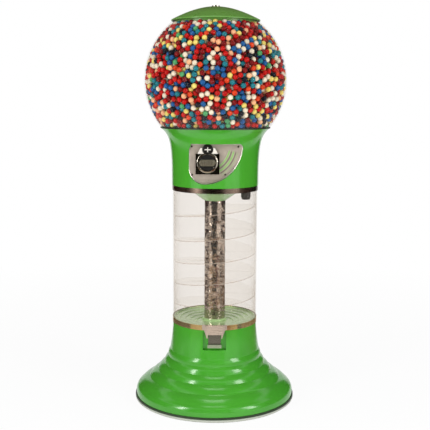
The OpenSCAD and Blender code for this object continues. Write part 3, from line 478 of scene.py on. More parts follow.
@dataclass(frozen=True)
class TwoToneRubber:
    """Rubber trim that is dark above and pale along its foot, where it meets the floor."""

    name: str
    upper: str
    lower: str
    line: float = 0.0098
    blur: float = 0.0015

    def build(self) -> bpy.types.Material:
        """Makes the material."""
        r = Recipe(self.name)
        amount = r.spread(r.height(), 0, 1, self.line - self.blur, self.line + self.blur)
        shader = r.add("BsdfPrincipled", IOR=1.45)
        r.link(r.tint(amount, srgb(self.lower), srgb(self.upper)), shader.inputs["Base Color"])
        r.rough(shader, r.noise(80.0, 3.0), 0.4, 0.6)
        r.bump(shader, r.noise(500.0, 2.0), GRAIN, 0.3)
        return r.finish(shader)


@dataclass(frozen=True)
class Clear:
    """Thin clear plastic: what is behind shows through, and the surface shines more at its edges.

    A painted pale reflection over its lower part, where it has one, thins out upwards between a
    foot height and a top height.
    """

    name: str
    through: tuple[float, float, float]
    edge: str
    face_shine: float = 0.03
    rim_shine: float = 0.55
    rim_power: float = 3.0
    painted_reflection_amount: float = 0.0
    painted_reflection_top: float = 1.08
    painted_reflection_foot: float = 0.96

    def build(self) -> bpy.types.Material:
        """Makes the material."""
        r = Recipe(self.name)
        clear = r.add("BsdfTransparent", Color=(*self.through, 1.0))
        gloss = r.add("BsdfPrincipled", Base_Color=srgb(self.edge), IOR=1.58,
                      Specular_IOR_Level=0.8)
        r.rough(gloss, r.noise(30.0, 3.0), 0.03, 0.09)
        facing = r.add("LayerWeight", Blend=0.5).outputs["Facing"]
        rim = r.number("POWER", facing, self.rim_power)
        shine = r.spread(rim, self.face_shine, self.rim_shine, 0.0, 1.0)
        # Painted reflection: more of the pale gloss below a height, thinning out upwards.
        painted_reflection_amount = r.spread(r.height(), self.painted_reflection_amount, 0.0, self.painted_reflection_foot, self.painted_reflection_top)
        return r.finish(r.over(r.number("ADD", shine, painted_reflection_amount), clear, gloss))


@dataclass(frozen=True)
class ClearSheet:
    """Clear sheet of the ramp: faces that hardly show, and cut edges that catch the light.

    Its edges are found by their distance from the machine's axis.
    """

    name: str
    through: tuple[float, float, float]
    edge: str
    inner_r: float = 0.0392
    outer_r: float = 0.1482
    face_shine: float = 0.02
    edge_shine: float = 0.62

    def build(self) -> bpy.types.Material:
        """Makes the material."""
        r = Recipe(self.name)
        away = r.from_axis()
        at_edge = r.number("MAXIMUM", r.number("GREATER_THAN", away, self.outer_r),
                           r.number("LESS_THAN", away, self.inner_r))
        outside = r.number("SUBTRACT", 1.0, r.add("NewGeometry").outputs["Backfacing"])
        lit = r.number("MULTIPLY", at_edge, outside)
        shine = r.spread(lit, self.face_shine, self.edge_shine, 0.0, 1.0)
        scuffs = r.spread(r.noise(46.0, 4.0), 0.55, 1.0, 0.35, 0.65)
        clear = r.add("BsdfTransparent", Color=(*self.through, 1.0))
        gloss = r.add("BsdfPrincipled", Base_Color=srgb(self.edge), Roughness=0.12, IOR=1.49)
        return r.finish(r.over(r.number("MULTIPLY", shine, scuffs), clear, gloss))


@dataclass(frozen=True)
class Candy:
    """Hard candy shell with a slightly uneven colour and a soft shine."""

    name: str
    colour: str
    shine: float = 0.22

    def build(self) -> bpy.types.Material:
        """Makes the material."""
        r = Recipe(self.name)
        shader = r.add("BsdfPrincipled", IOR=1.45, Specular_IOR_Level=self.shine)
        r.cloud(shader, self.colour, r.spread(r.noise(55.0, 3.0), 0, 1), 0.82, 1.12)
        r.rough(shader, r.noise(180.0, 3.0), 0.22, 0.36)
        r.bump(shader, r.noise(320.0, 3.0), RIPPLE, 0.25)
        return r.finish(shader)


FINISHES = {
    "green_paint": Enamel("green_enamel", "549a42", 0.22, 0.10, 0.0),
    "green_plastic": Enamel("green_moulding", "409528", 0.16, 0.12, 0.0),
    "black_rubber": TwoToneRubber("foot_rubber", "1e3015", "b2b6aa"),
    "stainless": Metal("bright_sheet", "cfc6ba", 0.09, Along.X, 0.05, 0.06),
    "polished_tube": WavyChrome("polished_column", "cbbcae", 0.08),
    "plated_steel": Metal("zinc_plate", "b4b2ac", 0.3, Along.Z, 0.15),
    "dark_chrome": Metal("dark_casting", "6d6557", 0.22, Along.X, 0.1),
    "bright_chrome": Metal("bright_plate", "c4bcae", 0.12, Along.X, 0.05),
    "base_steel": Moulded("black_powder_coat", "2a2a29", 0.45),
    "iron": Moulded("plain_iron", "3a3733", 0.6, 0.6, 400.0),
    "brass_gear": Metal("machined_brass", "c9a55a", 0.24, Along.Y, 0.2),
    "clear_tube": Clear("clear_tube_wall", (0.965, 0.953, 0.94), "d9cfc4", 0.02, 0.55, 4.0),
    "clear_ramp": ClearSheet("clear_ramp_sheet", (0.985, 0.98, 0.972), "b5a596"),
    # The globe's last value is a painted pale reflection over its lower part.
    "clear_globe": Clear("clear_globe_wall", (0.985, 0.98, 0.975), "b8b4ae", 0.004, 0.13, 4.0,
                         0.045),
    "white_plastic": Moulded("white_nylon", "dfdbd0", 0.35, 0.1),
    "black_plastic": Moulded("black_moulding", "211f1c", 0.35, 0.2),
    "pan_plastic": Moulded("pan_moulding", "cfcfca", 0.4, 0.1),
    "gumballs": Candy("candy", "b5483c"),
}

# Nodes that differ a little from the rest of their slot
NODE_FINISHES = {
    # The plate's last two colours are a painted green reflection and painted shade in its ripples.
    "front_plate": PaintedRipplePlate("satin_plate", "b2a598", "82bd5e", "665f50"),
    "hopper_pan": Moulded("dark_pan", "1d1f1b", 0.45),
    # The tray's pale green is painted light and reflection on a green part in shade; the cone's
    # paler green is partly its own colour and partly painted light.
    "catch_tray": Enamel("tray_enamel", "b9db9f", 0.24, 0.2, 0.3),
    "head_floor": Enamel("cone_enamel", "8fb87c", 0.2, 0.1, 0.2),
    # The lid's second colour is painted shade round its crown.
    "lid": EnamelWithPaintedCrownShade("lid_enamel", "5f943d", "4c6b2c", 0.3),
    # The two bands' colours are a painted reflection tint: pale gold on the lower one, dark brown
    # on the upper one.
    "lower_band": Metal("lower_sheet", "dccb9a", 0.12, Along.X, 0.05, 0.06, 0.9),
    "upper_band": Metal("upper_sheet", "766458", 0.24, Along.X, 0.05, 0.06),
    "drop_spout": Moulded("spout_black", "0b0a09", 0.5),
    "chute_hood": Metal("hood_sheet", "bdaa9b", 0.28, Along.X, 0.1, 0.1, 0.5),
    "chute_duct": Metal("duct_sheet", "98a086", 0.3, Along.X, 0.1, 0.1, 0.5),
    "chute_door": Metal("door_sheet", "716c62", 0.24, Along.X, 0.1, 0.1, 0.8),
}


class Palette:
    """Makes each finish once and hands it out by its slot."""

    def __init__(self) -> None:
        """Starts with no material made."""
        self.made: dict[str, bpy.types.Material] = {}

    def get(self, slot: str) -> bpy.types.Material:
        """Gives a slot's material.

        Args:
            slot: A material slot of the record.

        Returns:
            The material, made on first use.
        """
        if slot not in self.made:
            self.made[slot] = FINISHES[slot].build()
        return self.made[slot]


PALETTE = Palette()


# ---- Mesh helpers ----


def as_object(name: str, mesh: bmesh.types.BMesh, material: bpy.types.Material) -> bpy.types.Object:
    """Turns a bmesh into an object of the scene.

    Args:
        name: Name of the object.
        mesh: The shape, which is freed here.
        material: Its material.

    Returns:
        The new object.
    """
    data = bpy.data.meshes.new(name)
    mesh.to_mesh(data)
    mesh.free()
    data.materials.append(material)
    obj = bpy.data.objects.new(name, data)
    bpy.context.scene.collection.objects.link(obj)
    return obj


def add_piece(
    name: str,
    mesh: bmesh.types.BMesh,
    body: Body,
    slot: str,
    replaces: Sequence[str] = (),
    material: bpy.types.Material | None = None,
) -> bpy.types.Object:
    """Turns a bmesh into a piece that rides on a body.

    Args:
        name: Name of the piece.
        mesh: The shape, which is freed here.
        body: Body that carries the piece.
        slot: Slot of the record that gives its finish.
        replaces: CAD nodes that it stands for.
        material: Its material, where that isn't the slot's own.

    Returns:
        The new object.
    """
    bmesh.ops.recalc_face_normals(mesh, faces=mesh.faces)
    obj = as_object(name, mesh, material or PALETTE.get(slot))
    for polygon in obj.data.polygons:
        polygon.use_smooth = True
    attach(obj, body.value)
    if replaces:
        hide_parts(*replaces)
    log.info("%s on %s, %d faces", name, body.value, len(obj.data.polygons))
    return obj


def crease(obj: bpy.types.Object, degrees: float = 32.0) -> None:
    """Keeps edges sharper than an angle crisp on a smooth piece."""
    split = obj.modifiers.new("crisp_edges", "EDGE_SPLIT")
    split.split_angle = math.radians(degrees)


def spun(
    profile: Sequence[tuple[float, float]], closed: bool = True, steps: int = RADIAL_STEPS
) -> bmesh.types.BMesh:
    """Spins a profile of radii and heights round the Z axis.

    Args:
        profile: Points as radius and height, in metres.
        closed: Whether the last point joins the first.
        steps: Steps in a full turn.

    Returns:
        The spun shape.
    """
    mesh = bmesh.new()
    verts = [mesh.verts.new((r, 0.0, z)) for r, z in profile]
    pairs = list(zip(verts, verts[1:]))
    if closed:
        pairs.append((verts[-1], verts[0]))
    edges = [mesh.edges.new(pair) for pair in pairs]
    bmesh.ops.spin(mesh, geom=verts + edges, axis=(0, 0, 1), cent=(0, 0, 0), dvec=(0, 0, 0),
                   angle=math.tau, steps=steps, use_merge=True, use_duplicate=False)
    bmesh.ops.remove_doubles(mesh, verts=mesh.verts, dist=1e-6)
    return mesh


def join_into(target: bmesh.types.BMesh, part: bmesh.types.BMesh) -> None:
    """Adds one bmesh to another and frees it."""
    data = bpy.data.meshes.new("joined")
    part.to_mesh(data)
    part.free()
    target.from_mesh(data)
    bpy.data.meshes.remove(data)


def round_edges(
    mesh: bmesh.types.BMesh, edges: list[bmesh.types.BMEdge], width: float, segments: int = 2
) -> None:
    """Rounds edges of a bmesh."""
    bmesh.ops.bevel(mesh, geom=edges, offset=width, offset_type="OFFSET", segments=segments,
                    profile=0.5, affect="EDGES", material=-1)


def raise_faces(
    mesh: bmesh.types.BMesh, faces: list[bmesh.types.BMFace], vec: Sequence[float]
) -> None:
    """Raises faces by a vector, with walls between them and the old ones, which stay."""
    raised = bmesh.ops.extrude_face_region(mesh, geom=faces, use_keep_orig=True)["geom"]
    verts = [item for item in raised if isinstance(item, bmesh.types.BMVert)]
    bmesh.ops.translate(mesh, verts=verts, vec=vec)


# ---- Carried-over nodes ----


@dataclass
class CarriedNodes:
    """Gives every CAD node its finish, smooth faces and crisp edges."""

    weld: float = 2e-6
    crisp_degrees: float = 30.0

    def dress(self) -> None:
        """Dresses each node by its record slot."""
        slots = {part["node"]: part["material_slot"] for part in frame["record"]["subparts"]}
        for name, node in frame["nodes"].items():
            node.data.materials.clear()
            own = NODE_FINISHES.get(name)
            node.data.materials.append(own.build() if own else PALETTE.get(slots[name]))
            for polygon in node.data.polygons:
                polygon.use_smooth = True
            merge = node.modifiers.new("merged_faces", "WELD")
            merge.merge_threshold = self.weld
            crease(node, self.crisp_degrees)
        log.info("dressed %d nodes", len(frame["nodes"]))


# ---- Coin mechanism ----


def add_bar(
    mesh: bmesh.types.BMesh, size: Sequence[float], place: Sequence[float], rounding: float
) -> None:
    """Adds a bar with rounded edges to a bmesh.

    Args:
        mesh: The bmesh that gets the bar.
        size: Its three sizes.
        place: Its middle.
        rounding: Width of its rounded edges.
    """
    matrix = Matrix.Translation(place) @ Matrix.Diagonal((*size, 1.0))
    made = bmesh.ops.create_cube(mesh, size=1.0, matrix=matrix)
    edges = list({edge for vert in made["verts"] for edge in vert.link_edges})
    round_edges(mesh, edges, rounding)


def towards_front(mesh: bmesh.types.BMesh, place: Sequence[float]) -> bmesh.types.BMesh:
    """Turns a shape made along Z to face the front, and puts it in place.

    Args:
        mesh: Shape whose height runs along Z.
        place: Where its foot's middle goes.

    Returns:
        The same bmesh.
    """
    turn = Matrix.Translation(place) @ Matrix.Rotation(math.pi / 2, 4, "X")
    bmesh.ops.transform(mesh, matrix=turn, verts=mesh.verts)
    return mesh


def cut_level(mesh: bmesh.types.BMesh, z: float, keep_above: bool) -> bmesh.types.BMesh:
    """Cuts a closed shape level and closes the cut.

    Args:
        mesh: The shape.
        z: Height of the cut.
        keep_above: Whether the upper part stays.

    Returns:
        The same bmesh.
    """
    bmesh.ops.bisect_plane(mesh, geom=[*mesh.verts, *mesh.edges, *mesh.faces], plane_co=(0, 0, z),
                           plane_no=(0, 0, -1 if keep_above else 1), clear_outer=True)
    bmesh.ops.holes_fill(mesh, edges=[edge for edge in mesh.edges if edge.is_boundary])
    return mesh


def slab(
    outline: Sequence[tuple[float, float]], depth: float, rounding: float
) -> bmesh.types.BMesh:
    """Makes a slab from its outline in X and Z, with its front edges rounded.

    Args:
        outline: Corners as X and Z.
        depth: How thick it is; its back lies at Y = 0.
        rounding: Width of the rounded front edges.

    Returns:
        The slab.
    """
    mesh = bmesh.new()
    face = bmesh.ops.contextual_create(
        mesh, geom=[mesh.verts.new((x, 0.0, z)) for x, z in outline])["faces"][0]
    raise_faces(mesh, [face], (0, -depth, 0))
    front = [edge for edge in mesh.edges if all(v.co.y < -depth * 0.99 for v in edge.verts)]
    round_edges(mesh, front, rounding)
    return mesh


@dataclass
class CoinMechanism:
    """What shows of the coin mechanism: plate lip, bezel, dial, ribbed grip, entry and screws."""

    axis: tuple[float, float] = (-0.027, 0.876)
    plate_y: float = -0.1285
    front_y: float = -0.141
    housing_top: float = 0.906
    entry: tuple[float, float] = (-0.026, 0.921)
    entry_r: float = 0.0185
    cross_bars: tuple[tuple[float, ...], ...] = (
        (0.0215, 0.0018, 0.0034), (0.0034, 0.0018, 0.0165))
    cross_rise: float = 0.0147
    cross_rounding: float = 0.0007
    cheek_depth: float = 0.0009
    cheek_rounding: float = 0.0004
    cheek_y: float = -0.138
    dial_y: float = -0.1405
    grip: tuple[float, float] = (0.0560, 0.0225)
    grip_depth: float = 0.0124
    grip_rounding: float = 0.0022
    grip_sides: int = 40
    ribs: int = 11
    rib_size: tuple[float, float, float] = (0.0017, 0.0150, 0.0022)
    rib_rounding: float = 0.0005
    rib_margin: float = 0.011
    screw_steps: int = 20
    screws: tuple[tuple[float, float], ...] = (
        (-0.0815, 0.931), (0.0795, 0.931), (-0.080, 0.8335), (0.035, 0.8345))

    def build(self) -> None:
        """Makes the pieces."""
        self.lip()
        self.bezel()
        self.dial()
        self.handle()
        self.coin_entry()
        self.shoulders()
        self.screw_heads()

    @staticmethod
    def recess_outline(inset: float) -> list[tuple[float, float]]:
        """Gives the plate's outline: two arcs below, a small corner above, a straight left side.

        Args:
            inset: How far the outline is drawn in.

        Returns:
            Corners as X and Z.
        """
        def arc(x: float, z: float, r: float, start: float, end: float, n: int) -> list:
            turns = [math.radians(start + (end - start) * i / n) for i in range(n + 1)]
            return [(x + r * math.cos(t), z + r * math.sin(t)) for t in turns]

        return [
            *arc(-0.039, 0.853, 0.052 - inset, 180, 262, 14),
            *arc(-0.039, 0.9355, 0.1345 - inset, 270, 353, 30),
            *arc(0.082, 0.9265, 0.014 - inset, 0, 90, 8),
            (-0.083, 0.9405 - inset), (-0.091 + inset, 0.9185),
        ]

    def lip(self) -> None:
        """Makes the thin rolled edge round the plate."""
        mesh = bmesh.new()
        loops = []
        for inset, rise in ((0.0007, 0.0), (0.0007, 0.0011), (0.0012, 0.0015), (0.0019, 0.0011),
                            (0.0022, 0.0)):
            verts = [mesh.verts.new((x, self.plate_y - rise, z))
                     for x, z in self.recess_outline(inset)]
            loops.append([mesh.edges.new(pair) for pair in zip(verts, verts[1:] + verts[:1])])
        for first, second in zip(loops, loops[1:] + loops[:1]):
            bmesh.ops.bridge_loops(mesh, edges=[*first, *second])
        rolled = Metal("rolled_edge", "e4ddd4", 0.25, Along.X, 0.1, 0.1, 0.5)
        crease(add_piece("plate_lip", mesh, Body.MACHINE, "stainless", material=rolled.build()))

    def bezel(self) -> None:
        """Makes the rounded ring in front of the dial."""
        mesh = spun([(0.0289, 0.0), (0.0289, 0.0012), (0.0293, 0.0022), (0.0301, 0.0028),
                     (0.0318, 0.0028), (0.0330, 0.0022), (0.0345, 0.0021), (0.0356, 0.0016),
                     (0.0363, 0.0008), (0.0364, 0.0)])
        towards_front(mesh, (self.axis[0], self.front_y, self.axis[1]))
        crease(add_piece("dial_bezel", cut_level(mesh, self.housing_top, False), Body.MACHINE,
                         "bright_chrome", ("mech_bezel",)), 40)

    def dial(self) -> None:
        """Makes the grooved face of the dial behind the grip."""
        mesh = spun([(0.0055, 0.0), (0.0055, 0.0010), (0.0205, 0.0010), (0.0212, 0.0005),
                     (0.0222, 0.0005), (0.0229, 0.0012), (0.0262, 0.0012), (0.0272, 0.0006),
                     (0.0274, 0.0)])
        towards_front(mesh, (self.axis[0], self.dial_y, self.axis[1]))
        crease(add_piece("dial_face", mesh, Body.HANDLE, "black_plastic",
                         material=Moulded("dial_black", "0c0b09", 0.55).build()), 25)

    def handle(self) -> None:
        """Makes the grip with its upright ribs."""
        width, height = self.grip
        mesh = bmesh.new()
        half_side = Matrix.Rotation(math.pi / self.grip_sides, 4, "Z")
        made = bmesh.ops.create_circle(mesh, cap_ends=True, segments=self.grip_sides,
                                       radius=height / 2, matrix=half_side)
        for vert in made["verts"]:
            vert.co.x += math.copysign((width - height) / 2, vert.co.x)
        raise_faces(mesh, mesh.faces[:], (0, 0, self.grip_depth))
        rim = [edge for edge in mesh.edges if all(v.co.z > self.grip_depth / 2 for v in edge.verts)]
        round_edges(mesh, rim, self.grip_rounding, 4)
        for i in range(self.ribs):
            x = (i - (self.ribs - 1) / 2) * (width - self.rib_margin) / (self.ribs - 1)
            add_bar(mesh, self.rib_size, (x, 0, self.grip_depth), self.rib_rounding)
        towards_front(mesh, (self.axis[0], self.dial_y, self.axis[1]))
        crease(add_piece("ribbed_grip", mesh, Body.HANDLE, "dark_chrome", ("grip_handle",),
                         Metal("grip_casting", "7f7866", 0.3, Along.Z, 0.2, 0.12, 0.6).build()), 40)

    def coin_entry(self) -> None:
        """Makes the round entry and the raised cross on it."""
        mesh = spun([(0.0, 0.0), (0.0185, 0.0), (0.0185, 0.0112), (0.0181, 0.0121),
                     (0.0172, 0.0125), (0.0160, 0.0125), (0.0156, 0.0140), (0.0147, 0.0145),
                     (0.0125, 0.0141), (0.0, 0.0139)], closed=False)
        towards_front(mesh, (self.entry[0], self.plate_y, self.entry[1]))
        crease(add_piece("coin_entry_face", cut_level(mesh, self.housing_top, True), Body.MACHINE,
                         "black_plastic", ("coin_entry",),
                         Moulded("entry_black", "12100e", 0.4).build()), 40)
        cross = bmesh.new()
        middle = (self.entry[0], self.plate_y - self.cross_rise, self.entry[1])
        for size in self.cross_bars:
            add_bar(cross, size, middle, self.cross_rounding)
        crease(add_piece("coin_entry_cross", cross, Body.MACHINE, "bright_chrome",
                         material=self.bright()), 40)

    def shoulders(self) -> None:
        """Makes the two bright cheeks beside the coin entry."""
        x, z = self.entry
        drop = z - self.housing_top - 0.0003
        reach = math.sqrt(self.entry_r**2 - drop**2)
        for name, side in (("left", -1), ("right", 1)):
            outline = [(x + side * (reach + 0.001), z - drop), (x + side * 0.0355, z - drop),
                       (x + side * 0.0250, z + 0.0055), (x + side * 0.0182, z + 0.0060),
                       (x + side * 0.0192, z), (x + side * 0.0176, z - 0.0075)]
            mesh = slab(outline, self.cheek_depth, self.cheek_rounding)
            bmesh.ops.translate(mesh, verts=mesh.verts, vec=(0, self.cheek_y, 0))
            crease(add_piece("shoulder_" + name, mesh, Body.MACHINE, "bright_chrome",
                             material=self.bright()), 40)

    @staticmethod
    def bright() -> bpy.types.Material:
        """Gives the pale satin finish of the cross and the cheeks, near white: partly their bright
        metal, partly a painted highlight.
        """
        return Metal("pale_casting", "efe8de", 0.3, Along.X, 0.1, 0.1, 0.2).build()

    def screw_heads(self) -> None:
        """Makes the domed heads of the plate's screws, each with a recess."""
        mesh = bmesh.new()
        for x, z in self.screws:
            head = spun([(0.0, 0.0), (0.0036, 0.0), (0.0036, 0.0006), (0.0031, 0.0012),
                         (0.0021, 0.0016), (0.0013, 0.0016), (0.0011, 0.0006), (0.0, 0.0006)],
                        closed=False, steps=self.screw_steps)
            join_into(mesh, towards_front(head, (x, self.plate_y, z)))
        crease(add_piece("plate_screw_heads", mesh, Body.MACHINE, "plated_steel", ("plate_screws",),
                         Metal("dark_screws", "5b554c", 0.35).build()), 40)


# ---- Gumballs ----


@dataclass
class GumballMix:
    """One colour of gumball and its share of the fill."""

    name: str
    colour: str
    share: float


@dataclass
class Gumballs:
    """Loose balls in the globe: packed layers against the wall, and a heap under the lid."""

    radius: float = 0.00975
    wall_r: float = 0.2510
    wall_half_h: float = 0.2545
    centre_z: float = 1.1566
    low_z: float = 0.993
    top_z: float = 1.360
    layers: tuple[int, ...] = (1800, 1600, 1250)
    layer_depth: float = 0.0162
    heap: int = 380
    heap_r: float = 0.15
    heap_clearance: float = 1.5
    jitter: float = 1.2
    wall_gap: float = 0.0006
    settled_gap: float = 0.0005
    rounds: int = 60
    rounds_per_search: int = 6
    reach: float = 3.0
    push: float = 0.42
    longest_move: float = 0.5
    ball_share: float = 0.985
    core_overlap: float = 0.012
    core_margins: tuple[float, float] = (0.01, 0.03)
    seed: int = 7
    mix: list[GumballMix] = field(default_factory=lambda: [
        GumballMix("red", "b80d08", 0.25),
        GumballMix("dark_red", "770c0e", 0.13),
        GumballMix("white", "e6dac2", 0.13),
        GumballMix("blue", "1b5792", 0.12),
        GumballMix("teal", "1d7884", 0.10),
        GumballMix("yellow", "e8d370", 0.07),
        GumballMix("peach", "eeb083", 0.05),
        GumballMix("orange", "d5401a", 0.05),
        GumballMix("green", "4e9b62", 0.04),
        GumballMix("navy", "101220", 0.07),
    ])

    def scatter(self) -> np.ndarray:
        """Places each layer's balls on a spiral against the wall, a little at random.

        Returns:
            Starting centres, one row each.
        """
        dice = np.random.default_rng(self.seed)
        golden = math.pi * (3 - math.sqrt(5))
        sets = []
        for depth, count in enumerate(self.layers):
            inset = self.radius + self.wall_gap + depth * self.layer_depth
            i = np.arange(count)
            height = 1 - 2 * (i + 0.5) / count
            ring = np.sqrt(1 - height**2) * (self.wall_r - inset)
            sets.append(np.column_stack((
                ring * np.cos(golden * i + depth), ring * np.sin(golden * i + depth),
                self.centre_z + height * (self.wall_half_h - inset))))
        i = np.arange(self.heap)
        ring = self.heap_r * np.sqrt((i + 0.5) / self.heap)
        level = np.full(self.heap, self.top_z - self.heap_clearance * self.radius)
        sets.append(np.column_stack((ring * np.cos(golden * i), ring * np.sin(golden * i), level)))
        points = np.concatenate(sets)
        points += dice.uniform(-self.jitter, self.jitter, points.shape) * self.radius
        return points[(points[:, 2] > self.low_z) & (points[:, 2] < self.top_z + self.radius)]

    def held_inside(self, points: np.ndarray) -> np.ndarray:
        """Moves centres inside the globe's wall and the fill's levels.

        Args:
            points: The balls' centres.

        Returns:
            The nearest allowed centres.
        """
        centre = np.array((0, 0, self.centre_z))
        room = np.array((self.wall_r, self.wall_r, self.wall_half_h))
        room = room - self.radius - self.settled_gap
        local = (points - centre) / room
        far = np.maximum(np.linalg.norm(local, axis=1, keepdims=True), 1)
        points = centre + local / far * room
        points[:, 2] = np.clip(points[:, 2], self.low_z + self.radius, self.top_z - self.radius)
        return points

    def neighbours(self, points: np.ndarray) -> tuple[np.ndarray, np.ndarray]:
        """Finds the pairs of balls that touch or nearly touch.

        Args:
            points: The balls' centres.

        Returns:
            Indices of each pair's two balls.
        """
        tree = kdtree.KDTree(len(points))
        for index, point in enumerate(points):
            tree.insert(point, index)
        tree.balance()
        near = self.reach * self.radius
        pairs = [(index, other) for index, point in enumerate(points)
                 for _, other, _ in tree.find_range(point, near) if other > index]
        first, second = np.array(pairs).T
        return first, second

    def settle(self, points: np.ndarray) -> np.ndarray:
        """Pushes overlapping balls apart, round after round.

        Args:
            points: Starting centres.

        Returns:
            Settled centres.
        """
        longest = self.longest_move * self.radius
        for turn in range(self.rounds):
            if turn % self.rounds_per_search == 0:
                first, second = self.neighbours(points)
            apart = points[first] - points[second]
            gap = np.maximum(np.linalg.norm(apart, axis=1, keepdims=True), 1e-6)
            push = apart / gap * np.clip(2 * self.radius - gap, 0, None) * self.push
            moves = np.zeros_like(points)
            np.add.at(moves, first, push)
            np.add.at(moves, second, -push)
            points = self.held_inside(points + np.clip(moves, -longest, longest))
        return points

    def build(self) -> None:
        """Makes one piece per colour, and the dark mass behind the outer layers, whose near-black
        colour is painted shade.
        """
        points = self.settle(self.scatter())
        shares = np.array([kind.share for kind in self.mix])
        shares /= shares.sum()
        drawn = np.random.default_rng(self.seed + 1).choice(len(shares), len(points), p=shares)
        mesh = bmesh.new()
        bmesh.ops.create_icosphere(mesh, subdivisions=2, radius=self.radius * self.ball_share)
        ball = bpy.data.meshes.new("ball")
        mesh.to_mesh(ball)
        mesh.free()
        for index, kind in enumerate(self.mix):
            many = bmesh.new()
            for point in points[drawn == index]:
                start = len(many.verts)
                many.from_mesh(ball)
                many.verts.ensure_lookup_table()
                bmesh.ops.translate(many, verts=many.verts[start:], vec=point)
            add_piece("gumballs_" + kind.name, many, Body.MACHINE, "gumballs",
                      ("gumball_fill",) if index == 0 else (),
                      Candy("candy_" + kind.name, kind.colour).build())
        bpy.data.meshes.remove(ball)
        self.core()
        log.info("%d gumballs", len(points))

    def core(self) -> None:
        """Makes the mass that fills the globe behind the outer layers, near black as painted shade
        deep in the fill.
        """
        inset = self.radius + len(self.layers) * self.layer_depth - self.core_overlap
        below, above = self.core_margins
        mesh = bmesh.new()
        bmesh.ops.create_icosphere(mesh, subdivisions=5, radius=1.0)
        for vert in mesh.verts:
            vert.co = Vector((vert.co.x * (self.wall_r - inset), vert.co.y * (self.wall_r - inset),
                              self.centre_z + vert.co.z * (self.wall_half_h - inset)))
            vert.co.z = min(max(vert.co.z, self.low_z + below), self.top_z - above)
        # Painted shade: the hidden balls are drawn as one near-black mass.
        add_piece("gumballs_within", mesh, Body.MACHINE, "gumballs",
                  material=Candy("candy_shade", "120606", 0.05).build())


# ---- Studio ----


@dataclass
class Softbox:
    """One rectangular lamp aimed at a point."""

    name: str
    place: tuple[float, float, float]
    aim: tuple[float, float, float]
    size: tuple[float, float]
    watts: float
    mirrored: bool = True

    def build(self) -> None:
        """Makes the lamp."""
        lamp = bpy.data.lights.new(self.name, "AREA")
        lamp.shape = "RECTANGLE"
        lamp.size, lamp.size_y = self.size
        lamp.energy = self.watts
        obj = bpy.data.objects.new(self.name, lamp)
        obj.location = self.place
        direction = Vector(self.aim) - Vector(self.place)
        obj.rotation_euler = direction.to_track_quat("-Z", "Y").to_euler()
        obj.visible_glossy = self.mirrored
        bpy.context.scene.collection.objects.link(obj)


@dataclass
class Flag:
    """A glowing sheet of the studio, seen only in shiny surfaces: a painted reflection, dark for
    the curtains and pale or tinted for the runners near the floor.

    Its two directions are turned from the front towards the right, in degrees.
    """

    name: str
    start: float
    end: float
    colour: str
    low: tuple[float, float] = (3.6, 0.02)
    high: tuple[float, float] = (3.6, 3.2)

    def build(self) -> None:
        """Makes the curtain as a part of a turn between two radii and heights."""
        turn = math.radians(self.start - 90)
        mesh = bmesh.new()
        ends = [mesh.verts.new((r * math.cos(turn), r * math.sin(turn), z))
                for r, z in (self.low, self.high)]
        edge = mesh.edges.new(ends)
        bmesh.ops.spin(mesh, geom=[*ends, edge], axis=(0, 0, 1), cent=(0, 0, 0), dvec=(0, 0, 0),
                       angle=math.radians(self.end - self.start),
                       steps=max(8, round((self.end - self.start) / 4)))
        r = Recipe(self.name)
        # The sheet glows with its colour and is never lit: a painted reflection.
        obj = as_object(self.name, mesh, r.finish(r.add("Emission", Color=srgb(self.colour))))
        for ray in ("camera", "diffuse", "transmission", "shadow"):
            setattr(obj, "visible_" + ray, False)


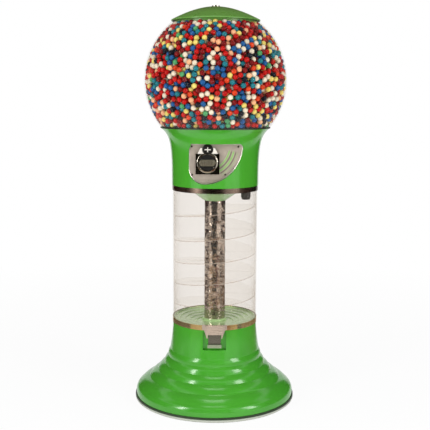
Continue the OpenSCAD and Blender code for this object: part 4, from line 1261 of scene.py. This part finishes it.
@dataclass
class Studio:
    """Pale floor, white surroundings, soft lamps and dark flags."""

    world_level: float = 0.40
    floor_size: float = 60.0
    floor_glow: float = 0.93
    floor_near: float = 0.7
    floor_far: float = 2.6
    lamps: list[Softbox] = field(default_factory=lambda: [
        Softbox("left_softbox", (-1.95, -1.75, 1.46), (0, 0, 0.9), (0.42, 1.55), 33),
        Softbox("right_softbox", (2.15, -1.6, 1.55), (0, 0, 0.9), (0.75, 1.4), 31),
        Softbox("top_softbox", (0, -0.6, 3.6), (0, 0, 0.9), (1.2, 1.2), 12),
        Softbox("low_softbox", (0, -1.9, 0.5), (0, 0, 1.05), (1.6, 0.5), 14, False),
    ])
    flags: list[Flag] = field(default_factory=lambda: [
        Flag("front_flag", -36, 25, "24241a"),
        Flag("left_flag", -150, -66, "3a1a14"),
        Flag("right_flag", 66, 105, "3d1a15"),
        Flag("far_right_flag", 105, 150, "12110f"),
        # Runners near the floor glow in pale and tinted colours: painted reflections in the shiny
        # parts.
        *(Flag("near_runner_" + str(start), start, end, colour, (1.0, 0.012), (2.0, 0.012))
          for start, end, colour in ((-150, -64, "4e3526"), (-64, -32, "c0a47c"),
                                     (-32, 12, "c9b9a6"), (12, 40, "8a4a34"), (40, 60, "a98a5c"),
                                     (60, 74, "1c150d"), (74, 150, "7d6248"))),
        Flag("far_runner", -36, 25, "24241a", (2.0, 0.012), (3.6, 0.012)),
        Flag("ceiling_flag", -180, 180, "665a44", (0.9, 4.2), (3.6, 4.2)),
        Flag("rear_flag", 150, 210, "6a6650", (3.6, 1.9), (3.6, 4.2)),
    ])

    @staticmethod
    def seen_directly(tree: bpy.types.NodeTree) -> Socket:
        """Adds a switch that is 1 for camera, glossy and transmission rays.

        Args:
            tree: Tree that gets the nodes.

        Returns:
            The switch's socket.
        """
        path = tree.nodes.new("ShaderNodeLightPath")
        seen = path.outputs["Is Camera Ray"]
        for ray in ("Is Glossy Ray", "Is Transmission Ray"):
            either = tree.nodes.new("ShaderNodeMath")
            either.operation = "MAXIMUM"
            tree.links.new(seen, either.inputs[0])
            tree.links.new(path.outputs[ray], either.inputs[1])
            seen = either.outputs[0]
        return seen

    def build(self) -> None:
        """Makes the floor, the world and the lamps."""
        self.floor()
        self.world()
        for item in (*self.lamps, *self.flags):
            item.build()

    def floor(self) -> None:
        """Makes the floor."""
        mesh = bmesh.new()
        bmesh.ops.create_grid(mesh, x_segments=2, y_segments=2, size=self.floor_size / 2)
        r = Recipe("pale_floor")
        glow = r.spread(r.from_axis(), self.floor_glow, 1.0, self.floor_near, self.floor_far)
        level = r.number("MULTIPLY", self.seen_directly(r.tree), glow)
        matt = r.add("BsdfDiffuse", Color=(0.9, 0.9, 0.9, 1))
        as_object("floor", mesh, r.finish(r.over(level, matt, r.add("Emission"))))

    def world(self) -> None:
        """Makes the surroundings: white where seen, softer as light."""
        world = bpy.data.worlds.new("studio")
        bpy.context.scene.world = world
        world.use_nodes = True
        tree = world.node_tree
        tree.nodes.clear()
        out = tree.nodes.new("ShaderNodeOutputWorld")
        soft = tree.nodes.new("ShaderNodeBackground")
        soft.inputs["Strength"].default_value = self.world_level
        white = tree.nodes.new("ShaderNodeBackground")
        for node in (soft, white):
            node.inputs["Color"].default_value = (1, 1, 1, 1)
        mix = tree.nodes.new("ShaderNodeMixShader")
        tree.links.new(self.seen_directly(tree), mix.inputs[0])
        tree.links.new(soft.outputs[0], mix.inputs[1])
        tree.links.new(white.outputs[0], mix.inputs[2])
        tree.links.new(mix.outputs[0], out.inputs["Surface"])


@dataclass
class Camera:
    """The view: from the front, slightly above the middle, looking a little down."""

    distance: float = 3.0616
    height: float = 1.1066
    pitch: float = 0.14001
    roll: float = 0.0043
    focal_px: float = 851.46
    frame_px: float = 430.0
    sensor: float = 36.0

    def build(self) -> None:
        """Makes the camera and puts it in use."""
        data = bpy.data.cameras.new("camera")
        data.sensor_width = self.sensor
        data.lens = self.focal_px * self.sensor / self.frame_px
        data.clip_end = 200
        obj = bpy.data.objects.new("camera", data)
        obj.location = (0, -self.distance, self.height)
        tilt = Matrix.Rotation(math.pi / 2 - self.pitch, 4, "X")
        obj.rotation_euler = (tilt @ Matrix.Rotation(self.roll, 4, "Z")).to_euler()
        bpy.context.scene.collection.objects.link(obj)
        bpy.context.scene.camera = obj


def main() -> None:
    """Builds every class in order."""
    bpy.context.scene.view_settings.view_transform = "Standard"
    bpy.context.scene.cycles.transparent_max_bounces = CLEAR_LAYERS
    CarriedNodes().dress()
    CoinMechanism().build()
    Gumballs().build()
    Studio().build()
    Camera().build()


if __name__ == "__main__":
    main()
